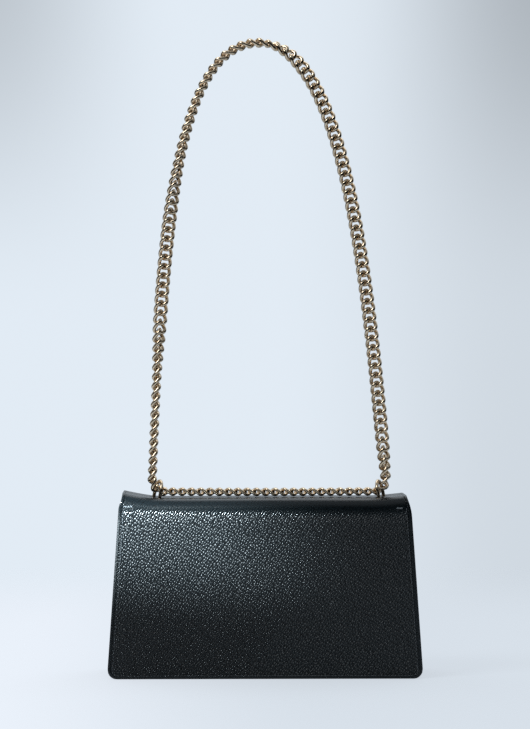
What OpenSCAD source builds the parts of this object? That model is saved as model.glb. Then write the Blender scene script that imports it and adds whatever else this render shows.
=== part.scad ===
// Structured flap bag with a curb chain shoulder strap.
// The back wall faces -Y, the flap covers the front at +Y, and the bag stands on z = 0.

/* [Body] */
// Width of the body along its bottom edge
bottom_w = 284; // [264:1:300]
// Width of the body along its top edge
top_w = 262; // [250:1:268]
// Height of the top edge at its two corners
body_h = 166.5; // [156:0.5:176]
// Depth of the body at its base
base_d = 88; // [84:1:94]
// Inward lean of the back wall from base to top
back_lean = 10; // [8:0.5:11]
// Inward lean of the front wall from base to top
front_lean = 18; // [16:0.5:19]
// Outer radius of the folds along the back and the front of the top
fold_r = 10; // [9:0.25:11]
// Radius of the bottom corners, seen from behind
corner_r = 9; // [7:0.5:12]
// Dip of the top edge between its two corners
top_sag = 5; // [4:0.25:6]
// Drop from the top's corners to the edge of the front wall and of the gussets
mouth_drop = 16.5; // [15.5:0.5:22]

/* [Leather, boards and lining] */
// Thickness of the outer leather
leather_t = 1.8; // [1.6:0.1:2]
// Thickness of the stiffening boards
board_t = 1.2; // [1:0.1:1.3]
// Thickness of the fabric lining
lining_t = 0.8; // [0.6:0.1:0.9]
// Thickness of the thinner leather of the gussets, base and facings
gusset_t = 1.4; // [1.2:0.1:1.5]
// Width of the turned-in seam allowance
seam_w = 9; // [7:0.5:10]
// Depth of the gusset's pleat at the mouth
pleat_mouth = 20; // [14:1:24]
// Depth of the gusset's pleat above the base
pleat_base = 5; // [3:0.5:8]

/* [Flap] */
// Height of the flap's lower edge above the floor
flap_end_z = 45; // [38:1:50]
// Radius of the flap's two lower corners
flap_r = 22; // [14:1:23]
// Space between the closed flap and the front wall
flap_gap = 0.6; // [0.5:0.1:0.8]
// Radius of the magnetic snap's two discs
snap_r = 7; // [6:0.25:8]
// Radius of the stud's locating boss
snap_boss_r = 2.4; // [2:0.1:2.5]
// Height of the snap's centre above the floor
snap_z = 64; // [60:1:72]

/* [Rings] */
// Distance of each ring's bar from the top's corner
ring_inset = 28; // [26:0.5:30]
// Wire diameter of the rings
ring_wire = 3.2; // [2.8:0.1:3.3]
// Width of a ring between the centres of its legs
ring_w = 18; // [17.5:0.1:18.4]
// Height of a ring from the centre of its bar to the centre of its crown
ring_h = 20; // [19:0.25:21]
// Turn of each ring out of the bag's depth direction
ring_toe = 18; // [14:1:20]
// Lean of each ring towards the middle of the bag
ring_lean = 12; // [11:0.5:13]

/* [Chain] */
// Wire diameter of a link
link_wire = 2.7; // [2.4:0.1:2.8]
// Length of a link between the centres of its two end bends
link_l = 11.8; // [11.6:0.05:12]
// Width of a link between the centres of its two sides
link_w = 9.2; // [8.8:0.1:9.6]
// Rise and fall of the twisted wire out of the link's plane
link_twist = 2.6; // [2.4:0.1:2.8]
// Distance from one link to the next
link_pitch = 8.4; // [8.3:0.05:8.6]
// Distance by which each strand leaves its ring outside the ring's bar
strand_out = 3; // [2.6:0.1:3.4]
// Height of the top of the arch above the floor, at the chain's centreline
arch_h = 574; // [480:2:620]
// Radius of the chain's turn inside each ring
turn_r = 10.5; // [10:0.25:11]

/* [Inner pocket] */
// Length of the zip
zip_l = 170; // [130:5:180]
// Distance of the zip's centreline below the seam of the top facing
zip_drop = 26; // [22:0.5:40]
// Distance between neighbouring teeth
tooth_pitch = 2.5; // [2.5:0.25:4]
// Height of the zipped pocket's bottom above the floor
pouch_foot = 32; // [28:1:50]
// Width of the open slip pocket on the front lining
slip_w = 120; // [80:5:150]
// Distance of the slip pocket's open edge below the seam of the front facing
slip_drop = 12; // [4:0.5:40]
// Length of the leather tab on the zip's puller
tab_l = 26; // [18:1:32]

/* [Hidden] */
mouth_h = body_h - mouth_drop;
ring_span = top_w - 2 * ring_inset;
strand_span = ring_span + 2 * strand_out;

// The fold line lies in the middle of the top, in front of the rings
hinge_y = 0;
hinge_slit = 0.4;
ply_gap = 0.2;
edge_in = 0.8;
cut = 1;
arc_steps = 5;
flat_share = 0.76;
sag_shares = [0.82, 0.76];
sag_power = 1.3;

// Depths of the layers, measured inwards from the outer face of a wall
board_d = leather_t + ply_gap;
flange_end_d = board_d + gusset_t;
lining_d = flange_end_d + ply_gap;
pouch_d = board_d + board_t + ply_gap;
pouch_t = 0.5;
pouch_room = 0.4;
tape_t = 0.5;
tape_d = pouch_d + 2 * pouch_t + pouch_room + ply_gap;
back_lining_d = tape_d + tape_t + ply_gap;
board_inset = edge_in + seam_w + 0.5 * gusset_t;
lining_inset = board_inset;
facing_w = 30;
facing_seam_z = mouth_h - facing_w;
zip_z = facing_seam_z - zip_drop;
base_lining_z = gusset_t + ply_gap + board_t + ply_gap;
flange_h = seam_w;
foot_h = 5;
base_end_z = corner_r + foot_h;

// The flap's layers, measured inwards from its outer face
flap_board_d = leather_t + ply_gap;
flap_lining_d = flap_board_d + board_t + ply_gap;
flap_t = flap_lining_d + lining_t;
flap_proud = flap_t + flap_gap;

// Ring hardware under the leather, measured down from the lowest part of the top
ring_y = -13.5;
ring_plate_t = 1;
ring_plate_w = 34;
ring_plate_y0 = -25.6;
ring_plate_y1 = -1.6;
ring_run = 0.2;
saddle_t = 0.8;
saddle_w = 9;
saddle_foot = 5;
rivet_r = 1.2;
rivet_head_r = 2;
rivet_head_t = 0.5;
slot_room = 0.6;
lean_in = 10;
top_mid_z = body_h - top_sag;
ring_plate_z = top_mid_z - leather_t - ply_gap - ring_plate_t;
bar_z = ring_plate_z - ring_run - ring_wire / 2;
saddle_z = bar_z - ring_wire / 2 - ring_run - saddle_t;
facing_top_d = top_mid_z - saddle_z + ply_gap;
stay_t = 2;

// Chain route
across_run = 1.35;
across_dip = 0.4;
across_z = top_mid_z + link_twist + link_wire / 2 + across_run;
turn_z = across_z + turn_r;
arch_rise = arch_h - turn_z;
strand_mid_x = 4;
apex_share = -0.09;
// Bend handles of the two halves of the arch, as shares of half its span and of its rise
left_handle_shares = [[-0.925, 0.5], [-0.845, 1]];
right_handle_shares = [[0.63, 1], [0.836, 0.5]];
// How far each stretch of the chain is turned from facing the back view, against its share of the loop
twist_shares = [[0, 90], [0.18, 90], [0.2, 72], [0.235, 0], [0.544, 0], [0.584, 90], [0.627, 88],
                [0.667, 62], [0.715, 40], [0.754, 25], [0.786, 5], [0.81, 5], [0.834, 25], [0.866, 62],
                [0.898, 90], [1, 90]];
link_angles = [0, 40, 90, 140, 180, 220, 270, 320];
link_sides = 6;
route_steps = 60;

// Snap
snap_disc_t = 1.8;
snap_proud = 0.2;
snap_boss_l = 1.7;
snap_run = 0.8;
snap_fit = 0.25;
snap_neck_r = 0.65 * snap_r;
washer_r = 9;
washer_t = 0.8;

// Zip
tape_w = 11;
tape_over = 8;
window_h = 9;
row_gap = 1;
bead_h = 1.1;
tooth_h = 1.1;
tooth_t = 1.5;
row_d = tape_d + tape_t + ply_gap;
slider_l = 9;
slider_w = 7;
slider_plate_t = 0.7;
slider_run = 0.25;
lug_w = 2.6;
pin_r = 0.7;
pin_run = 0.1;
lug_r = 1.6;
puller_w = 6.4;
puller_l = 8;
puller_t = 1.3;
arm_w = 1.3;
tab_t = 1.2;
stop_l = 2;
slip_gap = 0.3;
slip_z = 30;
slip_h = facing_seam_z - slip_drop - slip_z;
slip_side_w = 5;

// Height by which the inner face of a leaning ply at depth d dips below its own height
function back_dip(d) = d * back_lean / body_h;
function front_dip(d) = d * front_lean / body_h;
function half_w(z) = (bottom_w - (bottom_w - top_w) * z / body_h) / 2;
function back_y(z) = -base_d / 2 + back_lean * z / body_h;
function front_y(z) = base_d / 2 - front_lean * z / body_h;
function rise(s) = pow(max(0, (abs(s) - flat_share) / (1 - flat_share)), sag_power);
function top_z(s) = top_mid_z + top_sag * rise(s);
function reversed(v) = [for (i = [len(v) - 1:-1:0]) v[i]];
function flat(v) = [for (row = v) for (p = row) p];

// Stations across the width: share of the half width, and how far a rounded corner lifts the edge there
function stations(r, half) = let (
    side = concat([for (a = [90:-30:0]) [1 - r * (1 - sin(a)) / half, r * (1 - cos(a))]],
                  [for (k = sag_shares) [k, 0]]))
    concat([for (p = side) [-p[0], p[1]]], [[0, 0]], reversed(side));

// Line of the back wall over its fold to the hinge line, under a top at height zt, at depth dw in the wall
// and dt in the top
function back_line(s, z0, zt, dw, dt, r) = let (
    zc = zt - dt - r,
    yc = back_y(zc) + dw + r,
    arc = [for (i = [0:arc_steps]) let (a = 90 * i / arc_steps) [yc - r * cos(a), zc + r * sin(a)]],
    line = concat([[back_y(z0) + dw, z0]], arc, [[hinge_y - hinge_slit / 2, zt - dt]]))
    [for (p = line) [s * half_w(p[1]), p[0], p[1]]];

// Line of the flap from the hinge line over the front fold to its lower edge, at depth d
function flap_line(s, z_end, d) = let (
    r = fold_r - d,
    zc = top_z(s) - fold_r,
    yc = front_y(zc) + flap_proud - fold_r,
    arc = [for (i = [0:arc_steps]) let (a = 90 * i / arc_steps) [yc + r * sin(a), zc + r * cos(a)]],
    line = concat([[hinge_y + hinge_slit / 2, top_z(s) - d]], arc,
                  [[front_y(z_end) + flap_proud - d, z_end]]))
    [for (p = line) [s * (half_w(p[1]) - edge_in), p[0], p[1]]];

// Plan line of the right-hand gusset at height z, at depth d behind its outer face
function gusset_line(z, d) = let (
    x = half_w(z) - edge_in,
    yb = back_y(z) + board_d,
    yf = front_y(z) - board_d,
    mid = (yb + yf) / 2,
    share = (z - base_end_z) / (mouth_h - base_end_z),
    pleat = pleat_base + (pleat_mouth - pleat_base) * share,
    side_d = d / cos(atan(pleat / (mid - yb))))
    [[x - seam_w, yf - d, z], [x - d, yf - d, z], [x - pleat - side_d, mid, z],
     [x - d, yb + d, z], [x - seam_w, yb + d, z]];

// Trapezoid of a wall with its bottom corners rounded, drawn in the wall's own plane
function wall_outline(inset, z0, z1) = let (r = max(corner_r - inset, leather_t / 2))
    concat([for (a = [0:15:90]) [-half_w(z0) + inset + r - r * cos(a), z0 + r - r * sin(a)]],
           [for (a = [90:-15:0]) [half_w(z0) - inset - r + r * cos(a), z0 + r - r * sin(a)]],
           [[half_w(z1) - inset, z1], [-half_w(z1) + inset, z1]]);

// Sheet between two grids of points that have the same rows and columns
module sheet(outer, inner) {
    n = len(outer);
    k = len(outer[0]);
    function o(i, j) = i * k + j;
    function u(i, j) = (n + i) * k + j;
    quads = concat(
        [for (i = [0:n - 2]) for (j = [0:k - 2]) [o(i, j), o(i, j + 1), o(i + 1, j + 1), o(i + 1, j)]],
        [for (i = [0:n - 2]) for (j = [0:k - 2]) [u(i, j), u(i + 1, j), u(i + 1, j + 1), u(i, j + 1)]],
        [for (i = [0:n - 2]) [o(i, 0), o(i + 1, 0), u(i + 1, 0), u(i, 0)]],
        [for (i = [0:n - 2]) [o(i + 1, k - 1), o(i, k - 1), u(i, k - 1), u(i + 1, k - 1)]],
        [for (j = [0:k - 2]) [o(0, j + 1), o(0, j), u(0, j), u(0, j + 1)]],
        [for (j = [0:k - 2]) [o(n - 1, j), o(n - 1, j + 1), u(n - 1, j + 1), u(n - 1, j)]]);
    polyhedron(concat(flat(outer), flat(inner)), flat([for (q = quads) [[q[0], q[1], q[2]], [q[0], q[2], q[3]]]]));
}

// Places children drawn with x across, y inwards and z up the wall
module on_back() translate([0, -base_d / 2, 0]) rotate([-atan(back_lean / body_h), 0, 0]) children();
module on_front() translate([0, base_d / 2, 0]) rotate([atan(front_lean / body_h), 0, 0])
    mirror([0, 1, 0]) children();

// Flat ply of a wall, from depth d with thickness t
module ply(outline, d, t) translate([0, d + t, 0]) rotate([90, 0, 0]) linear_extrude(t) polygon(outline);

// Block of a wall: width w, from depth d with thickness t, between heights z0 and z1
module block(w, d, t, z0, z1) translate([-w / 2, d, z0]) cube([w, t, z1 - z0]);

// Round of radius r through a wall at height z, from depth d with length t
module round_in(r, d, t, z) translate([0, d + t, z]) rotate([90, 0, 0]) cylinder(r = r, h = t, $fn = 48);

// Solid between the two leaning walls, at depth d in both, over the width w
module between(d, z0, z1, w) rotate([90, 0, 90]) translate([0, 0, -w / 2]) linear_extrude(w)
    polygon([[back_y(z0) + d, z0], [front_y(z0) - d, z0], [front_y(z1) - d, z1], [back_y(z1) + d, z1]]);

// Left side 0 and right side 1 of the bag
function side_sign(side) = side == 0 ? -1 : 1;

// Frame of one ring: origin on its bar, y along the bar, x towards the middle of the bag
module ring_frame(side) {
    mid = strand_mid_x;
    translate([mid + side_sign(side) * ring_span / 2, ring_y, bar_z])
        mirror([side, 0, 0]) rotate([0, 0, ring_toe]) children();
}

module back_panel() color("#1c2023") difference() {
    st = stations(corner_r, bottom_w / 2);
    sheet([for (s = st) back_line(s[0], s[1], top_z(s[0]), 0, 0, fold_r)],
          [for (s = st) back_line(s[0], s[1], top_z(s[0]), leather_t, leather_t, fold_r - leather_t)]);
    for (side = [0, 1]) leg_slots(side, leather_t + top_sag + cut);
}

// Slots for the two legs of a ring, long enough for its lean, over the height h above its plate
module leg_slots(side, h) {
    up = top_mid_z + top_sag / 4 - bar_z;
    x1 = up * tan(ring_lean + lean_in) + ring_wire / 2 / cos(ring_lean + lean_in) + slot_room;
    x0 = -ring_wire / 2 - slot_room;
    w = ring_wire + 2 * slot_room;
    z0 = ring_plate_z - bar_z - ply_gap;
    ring_frame(side) for (y = [-ring_w / 2, ring_w / 2])
        translate([x0, y - w / 2, z0]) cube([x1 - x0, w, h + ring_plate_t + 2 * ply_gap]);
}

module front_panel() color("#1c2023") on_front() difference() {
    ply(wall_outline(0, 0, mouth_h), 0, leather_t);
    round_in(snap_r + snap_fit, -cut, leather_t + 2 * cut, snap_z);
}

module base_panel() color("#1c2023") difference() {
    intersection() {
        between(board_d, 0, base_end_z, bottom_w);
        translate([0, base_d / 2, 0]) rotate([90, 0, 0]) linear_extrude(base_d)
            polygon(wall_outline(edge_in, 0, base_end_z));
    }
    intersection() {
        between(board_d + gusset_t, gusset_t, base_end_z + cut, bottom_w);
        translate([0, base_d / 2, gusset_t]) rotate([90, 0, 0]) linear_extrude(base_d)
            polygon(wall_outline(edge_in + gusset_t, 0, base_end_z + cut));
    }
    between(-cut, flange_h, base_end_z + cut, 2 * (half_w(base_end_z) - edge_in - seam_w));
}

module gusset(from_d, t) {
    levels = [base_end_z + ply_gap, (base_end_z + mouth_h) / 2, mouth_h];
    sheet([for (z = levels) gusset_line(z, from_d)], [for (z = levels) gusset_line(z, from_d + t)]);
}

module gusset_right() color("#1f2427") gusset(0, gusset_t);
module gusset_left() color("#1f2427") mirror([1, 0, 0]) gusset(0, gusset_t);
module gusset_lining_right() color("#8a7f72") gusset(gusset_t + ply_gap, lining_t);
module gusset_lining_left() color("#8a7f72") mirror([1, 0, 0]) gusset(gusset_t + ply_gap, lining_t);

module back_board() color("#6b5a48") on_back()
    ply(wall_outline(board_inset, flange_h + ply_gap + back_dip(board_d + board_t), top_mid_z - 2 * fold_r),
        board_d, board_t);

module front_board() color("#6b5a48") on_front() difference() {
    ply(wall_outline(board_inset, flange_h + ply_gap + front_dip(board_d + board_t), mouth_h - leather_t),
        board_d, board_t);
    round_in(washer_r + snap_fit, board_d - cut, board_t + 2 * cut, snap_z);
}

module base_board() color("#6b5a48")
    between(lining_d, gusset_t + ply_gap, gusset_t + ply_gap + board_t, bottom_w - 2 * (corner_r + edge_in));

module base_lining() color("#8a7f72")
    between(lining_d, base_lining_z, base_lining_z + lining_t, bottom_w - 2 * (corner_r + edge_in));

module back_lining() color("#8a7f72") on_back() difference() {
    low = base_lining_z + lining_t + ply_gap + back_dip(back_lining_d + lining_t);
    ply(wall_outline(lining_inset, low, facing_seam_z - ply_gap), back_lining_d, lining_t);
    block(zip_l + window_h, back_lining_d - cut, lining_t + 2 * cut, zip_z - window_h / 2, zip_z + window_h / 2);
}

module front_lining() color("#8a7f72") on_front() {
    low = base_lining_z + lining_t + ply_gap + front_dip(lining_d + lining_t);
    ply(wall_outline(lining_inset, low, facing_seam_z - ply_gap), lining_d, lining_t);
}

module front_facing() color("#1f2427") on_front()
    ply(wall_outline(lining_inset, facing_seam_z, mouth_h), lining_d, gusset_t);

module top_facing() color("#1f2427") {
    shares = [-0.9, 0, 0.9];
    zt = top_mid_z - facing_top_d;
    sheet([for (s = shares) back_line(s, facing_seam_z, zt, back_lining_d, 0, fold_r - leather_t)],
          [for (s = shares) back_line(s, facing_seam_z, zt, back_lining_d + gusset_t, gusset_t,
                                      fold_r - leather_t - gusset_t)]);
}

// Stiffening strip under the flat of the top, cut away round the ring plates
module top_stay() color("#6b5a48") {
    y0 = back_y(top_mid_z) + fold_r;
    y1 = hinge_y - hinge_slit;
    z = top_mid_z - leather_t - ply_gap - stay_t;
    difference() {
        translate([-half_w(top_mid_z) + board_inset, y0, z])
            cube([2 * (half_w(top_mid_z) - board_inset), y1 - y0, stay_t]);
        for (side = [0, 1]) translate([ring_x(side) - ring_plate_w / 2 - ply_gap, y0 - cut, z - cut])
            cube([ring_plate_w + 2 * ply_gap, y1 - y0 + 2 * cut, stay_t + 2 * cut]);
    }
}

function ring_x(side) = strand_mid_x + side_sign(side) * ring_span / 2;

module ring_plate(side) color("#b9b6ad") difference() {
    translate([ring_x(side) - ring_plate_w / 2, ring_plate_y0, ring_plate_z])
        cube([ring_plate_w, ring_plate_y1 - ring_plate_y0, ring_plate_t]);
    leg_slots(side, ring_plate_t);
    saddle_holes(side);
}

function foot_x() = ring_wire / 2 + ring_run + saddle_t + saddle_foot / 2;

module saddle_holes(side) ring_frame(side) for (x = [-foot_x(), foot_x()])
    translate([x, 0, ring_plate_z - bar_z - cut]) cylinder(r = rivet_r, h = ring_plate_t + 2 * cut, $fn = 32);

// Strap bent round the underside of a ring's bar, with two feet under the plate
module ring_saddle(side) color("#b9b6ad") ring_frame(side) {
    r = ring_wire / 2 + ring_run;
    foot_z = ring_plate_z - bar_z;
    difference() {
        union() {
            rotate([90, 0, 0]) cylinder(r = r + saddle_t, h = saddle_w, center = true, $fn = 48);
            translate([-r - saddle_t, -saddle_w / 2, 0]) cube([2 * (r + saddle_t), saddle_w, foot_z]);
            translate([-foot_x() - saddle_foot / 2, -saddle_w / 2, foot_z - saddle_t])
                cube([2 * foot_x() + saddle_foot, saddle_w, saddle_t]);
        }
        rotate([90, 0, 0]) cylinder(r = r, h = saddle_w + 2 * cut, center = true, $fn = 48);
        translate([-r, -saddle_w / 2 - cut, 0]) cube([2 * r, saddle_w + 2 * cut, foot_z + cut]);
        for (x = [-foot_x(), foot_x()]) translate([x, 0, foot_z - saddle_t - cut])
            cylinder(r = rivet_r, h = saddle_t + 2 * cut, $fn = 32);
    }
}

module ring_rivets() color("#c9c4b8") for (side = [0, 1]) ring_frame(side) for (x = [-foot_x(), foot_x()])
    translate([x, 0, ring_plate_z - bar_z]) {
        shank = rivet_r - ring_run / 2;
        translate([0, 0, -saddle_t]) cylinder(r = shank, h = saddle_t + ring_plate_t, $fn = 32);
        translate([0, 0, -saddle_t - rivet_head_t]) cylinder(r = rivet_head_r, h = rivet_head_t, $fn = 32);
    }

// Closed D-shaped ring: straight bar, two legs and a half-round crown
module ring(side) color("#c9ad7f") ring_frame(side) rotate([0, ring_lean, 0]) {
    half = ring_w / 2;
    bend = ring_wire * 0.75;
    leg_h = ring_h - half;
    translate([0, half - bend, 0]) rotate([90, 0, 0]) cylinder(d = ring_wire, h = 2 * (half - bend), $fn = 32);
    for (m = [0, 1]) mirror([0, m, 0]) {
        translate([0, half, bend]) cylinder(d = ring_wire, h = leg_h - bend, $fn = 32);
        translate([0, half - bend, bend]) rotate([0, 90, 0]) rotate_extrude(angle = 90, $fn = 48)
            translate([bend, 0]) circle(d = ring_wire, $fn = 32);
    }
    translate([0, 0, leg_h]) rotate([0, -90, 0]) rotate([0, 0, -90]) rotate_extrude(angle = 180, $fn = 64)
        translate([half, 0]) circle(d = ring_wire, $fn = 32);
}

// One point of a cubic curve
function bend_at(p, t) = pow(1 - t, 3) * p[0] + 3 * pow(1 - t, 2) * t * p[1]
    + 3 * (1 - t) * t * t * p[2] + pow(t, 3) * p[3];
function arch_point(share) = [strand_mid_x + share[0] * strand_span / 2, turn_z + share[1] * arch_rise];

// The closed route of the chain in x and z: along the top, up through the right ring, over and down
left_x = strand_mid_x - strand_span / 2;
right_x = strand_mid_x + strand_span / 2;
apex = arch_point([apex_share, 1]);
right_half = [[right_x, turn_z], arch_point(right_handle_shares[1]), arch_point(right_handle_shares[0]), apex];
left_half = [apex, arch_point(left_handle_shares[1]), arch_point(left_handle_shares[0]), [left_x, turn_z]];
route = concat(
    [for (i = [0:9]) let (t = i / 10)
        [left_x + turn_r + t * (strand_span - 2 * turn_r), across_z - across_dip * sin(180 * t)]],
    [for (a = [0:15:75]) [right_x - turn_r + turn_r * sin(a), turn_z - turn_r * cos(a)]],
    [for (i = [0:route_steps - 1]) bend_at(right_half, i / route_steps)],
    [for (i = [0:route_steps - 1]) bend_at(left_half, i / route_steps)],
    [for (a = [90:-15:0]) [left_x + turn_r - turn_r * sin(a), turn_z - turn_r * cos(a)]]);
run = [for (i = 0, s = 0; i < len(route); s = s + (i < len(route) - 1 ? norm(route[i + 1] - route[i]) : 0), i = i + 1) s];
loop_l = run[len(run) - 1];
link_count = round(loop_l / link_pitch);
x_of_run = [for (i = [0:len(run) - 1]) [run[i], route[i][0]]];
z_of_run = [for (i = [0:len(run) - 1]) [run[i], route[i][1]]];
function joint_at(i) = let (s = loop_l * i / link_count) [lookup(s, x_of_run), lookup(s, z_of_run)];

// A link's centreline: an oval whose wire rises and falls twice, so that neighbours cross at right angles
function link_point(t) = [link_l / 2 * cos(t), link_w / 2 * sin(t), -link_twist * sin(2 * t)];
function link_slope(t) = [-link_l / 2 * sin(t), link_w / 2 * cos(t), -2 * link_twist * cos(2 * t)];

// Frame of link i: middle, along, across and through
function link_frame(i) = let (
    p = joint_at(i),
    q = joint_at(i + 1),
    along = (q - p) / norm(q - p),
    turn = -lookup((i + 0.5) / link_count, twist_shares))
    [[(p[0] + q[0]) / 2, ring_y, (p[1] + q[1]) / 2], [along[0], 0, along[1]],
     [-along[1] * cos(turn), sin(turn), along[0] * cos(turn)],
     [along[1] * sin(turn), cos(turn), -along[0] * sin(turn)]];
function placed(f, v) = f[0] + v[0] * f[1] + v[1] * f[2] + v[2] * f[3];

// Points of one link's tube, a ring of sides at each angle round the link
function link_tube(i) = let (f = link_frame(i), r = link_wire / 2) [
    for (t = link_angles) let (
        c = link_point(t),
        d = link_slope(t) / norm(link_slope(t)),
        e = cross(d, [0, 0, 1]) / norm(cross(d, [0, 0, 1])),
        g = cross(d, e))
        for (k = [0:link_sides - 1]) let (a = 360 * k / link_sides) placed(f, c + r * cos(a) * e + r * sin(a) * g)];

module links(from, to) {
    rings = len(link_angles);
    per = rings * link_sides;
    function at(n, j, k) = n * per + (j % rings) * link_sides + k % link_sides;
    polyhedron(
        flat([for (i = [from:to]) link_tube(i)]),
        flat([for (n = [0:to - from]) for (j = [0:rings - 1]) for (k = [0:link_sides - 1])
            [[at(n, j, k), at(n, j + 1, k), at(n, j + 1, k + 1)], [at(n, j, k), at(n, j + 1, k + 1), at(n, j, k + 1)]]]));
}

across_l = strand_span - 2 * turn_r;
turn_l = 3.1416 * turn_r / 2;
top_count = ceil((across_l + turn_l) / loop_l * link_count);
left_from = round(link_count * 0.59);

module chain_top() color("#c9ad7f") links(0, top_count - 1);
module chain_right() color("#c9ad7f") links(top_count, left_from - 1);
module chain_left() color("#c9ad7f") links(left_from, link_count - 1);

module flap_ply(d, t) {
    st = stations(flap_r, half_w(flap_end_z));
    sheet([for (s = st) flap_line(s[0], flap_end_z + s[1], d)],
          [for (s = st) flap_line(s[0], flap_end_z + s[1], d + t)]);
}

module flap_panel() color("#1c2023") flap_ply(0, leather_t);

// The front wall's frame carries the flap's flat pieces too, outside the wall at negative depth
module flap_board() color("#6b5a48") on_front() difference() {
    w = half_w(flap_end_z) - edge_in - seam_w;
    ply([[-w + flap_r, flap_end_z + seam_w], [w - flap_r, flap_end_z + seam_w], [w, flap_end_z + seam_w + flap_r],
         [half_w(top_mid_z) - edge_in - seam_w, top_mid_z - 2 * fold_r],
         [-half_w(top_mid_z) + edge_in + seam_w, top_mid_z - 2 * fold_r], [-w, flap_end_z + seam_w + flap_r]],
        -flap_proud + flap_board_d, board_t);
    round_in(washer_r + snap_fit, -flap_proud, flap_proud, snap_z);
}

module flap_lining() color("#1f2427") difference() {
    flap_ply(flap_lining_d, lining_t);
    on_front() round_in(snap_r, -flap_proud, flap_proud, snap_z);
}

module snap_socket() color("#c9ad7f") on_front() difference() {
    union() {
        round_in(snap_r, -snap_proud, snap_disc_t, snap_z);
        round_in(snap_neck_r, -snap_proud, snap_proud + board_d + washer_t + ply_gap, snap_z);
    }
    round_in(snap_boss_r + snap_run, -cut, board_d + washer_t + 2 * cut, snap_z);
}

module washer(d) difference() {
    round_in(washer_r, d, washer_t, snap_z);
    round_in(snap_neck_r + snap_fit, d - cut, washer_t + 2 * cut, snap_z);
}

module snap_socket_washer() color("#b9b6ad") on_front() washer(board_d);

module snap_stud() color("#c9ad7f") on_front() {
    face = -snap_proud - ply_gap;
    disc_t = flap_gap + lining_t + ply_gap - snap_proud - ply_gap;
    round_in(snap_r - snap_fit, face - disc_t, disc_t, snap_z);
    round_in(snap_boss_r, face - cut / 2, snap_boss_l + cut / 2, snap_z);
    round_in(snap_neck_r, face - disc_t - board_t, board_t + cut / 2, snap_z);
}

module snap_stud_washer() color("#b9b6ad") on_front()
    washer(-flap_proud + flap_board_d + (board_t - washer_t) / 2);

// Envelope of thin fabric behind the lining, open along its top edge
module zip_pouch() color("#8a7f72") on_back() {
    w = zip_l + 2 * tape_over;
    low = pouch_foot;
    front_top = zip_z - tape_w / 2 - window_h / 4;
    block(w, pouch_d, pouch_t, low, zip_z + tape_w);
    block(w, pouch_d + pouch_t + pouch_room, pouch_t, low, front_top);
    block(w, pouch_d, 2 * pouch_t + pouch_room, low, low + 2 * pouch_t);
    for (m = [0, 1]) mirror([m, 0, 0]) translate([w / 2 - 2 * pouch_t, pouch_d, low])
        cube([2 * pouch_t, 2 * pouch_t + pouch_room, front_top - low]);
}

module zip_tape() color("#202020") on_back() for (m = [0, 1]) {
    z = m == 0 ? zip_z + row_gap / 2 + tooth_h : zip_z - row_gap / 2 - tooth_h - tape_w;
    block(zip_l + 2 * tape_over, tape_d, tape_t, z, z + tape_w);
}

// One row of teeth standing on a bead, drawn with the teeth pointing down
module tooth_row() {
    count = floor(zip_l / tooth_pitch);
    points = flat([for (i = [0:count - 1]) let (x = -zip_l / 2 + i * tooth_pitch)
        [[x, tooth_h], [x, 0], [x + tooth_pitch / 2, 0], [x + tooth_pitch / 2, tooth_h]]]);
    ply(concat(points, [[-zip_l / 2 + count * tooth_pitch, tooth_h],
                        [-zip_l / 2 + count * tooth_pitch, tooth_h + bead_h], [-zip_l / 2, tooth_h + bead_h]]),
        row_d, tooth_t);
}

module zip_teeth() color("#c9ad7f") on_back() translate([0, 0, zip_z]) {
    translate([0, 0, row_gap / 2]) tooth_row();
    mirror([0, 0, 1]) translate([0, 0, row_gap / 2]) tooth_row();
}

module zip_stops() color("#c9ad7f") on_back() for (x = [-zip_l / 2 - stop_l, zip_l / 2 + ply_gap])
    for (z = [zip_z + row_gap / 2, zip_z - row_gap / 2 - tooth_h - bead_h])
        translate([x - ply_gap, row_d, z]) cube([stop_l, tooth_t, tooth_h + bead_h]);

slider_x = zip_l / 2 - slider_l / 2 - cut;
slider_top_d = row_d + tooth_t + slider_run;
pin_d = slider_top_d + slider_plate_t + lug_r + slider_run;

// Two plates joined by a web that runs in the slit between the rows of teeth
module zip_slider() color("#c9ad7f") on_back() translate([slider_x, 0, zip_z]) difference() {
    under_d = tape_d - slider_run - slider_plate_t;
    web_t = row_gap - 2 * slider_run;
    union() {
        translate([0, slider_top_d + slider_plate_t, 0]) rotate([90, 0, 0]) linear_extrude(slider_plate_t)
            slider_outline();
        translate([0, under_d + slider_plate_t, 0]) rotate([90, 0, 0]) linear_extrude(slider_plate_t)
            slider_outline();
        translate([-slider_l / 2 + tooth_h, under_d, -web_t / 2])
            cube([slider_l - 2 * tooth_h, slider_top_d - under_d + slider_plate_t, web_t]);
        translate([-lug_w / 2, slider_top_d, -lug_r])
            cube([lug_w, pin_d - slider_top_d, 2 * lug_r]);
        translate([-lug_w / 2, pin_d, 0]) rotate([0, 90, 0]) cylinder(r = lug_r, h = lug_w, $fn = 32);
    }
    translate([-lug_w / 2 - cut, pin_d, 0]) rotate([0, 90, 0])
        cylinder(r = pin_r + pin_run, h = lug_w + 2 * cut, $fn = 32);
}

module slider_outline() polygon([[-slider_l / 2, -slider_w / 4], [-slider_l / 4, -slider_w / 2],
    [slider_l / 2, -slider_w / 2], [slider_l / 2, slider_w / 2], [-slider_l / 4, slider_w / 2],
    [-slider_l / 2, slider_w / 4]]);

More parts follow.
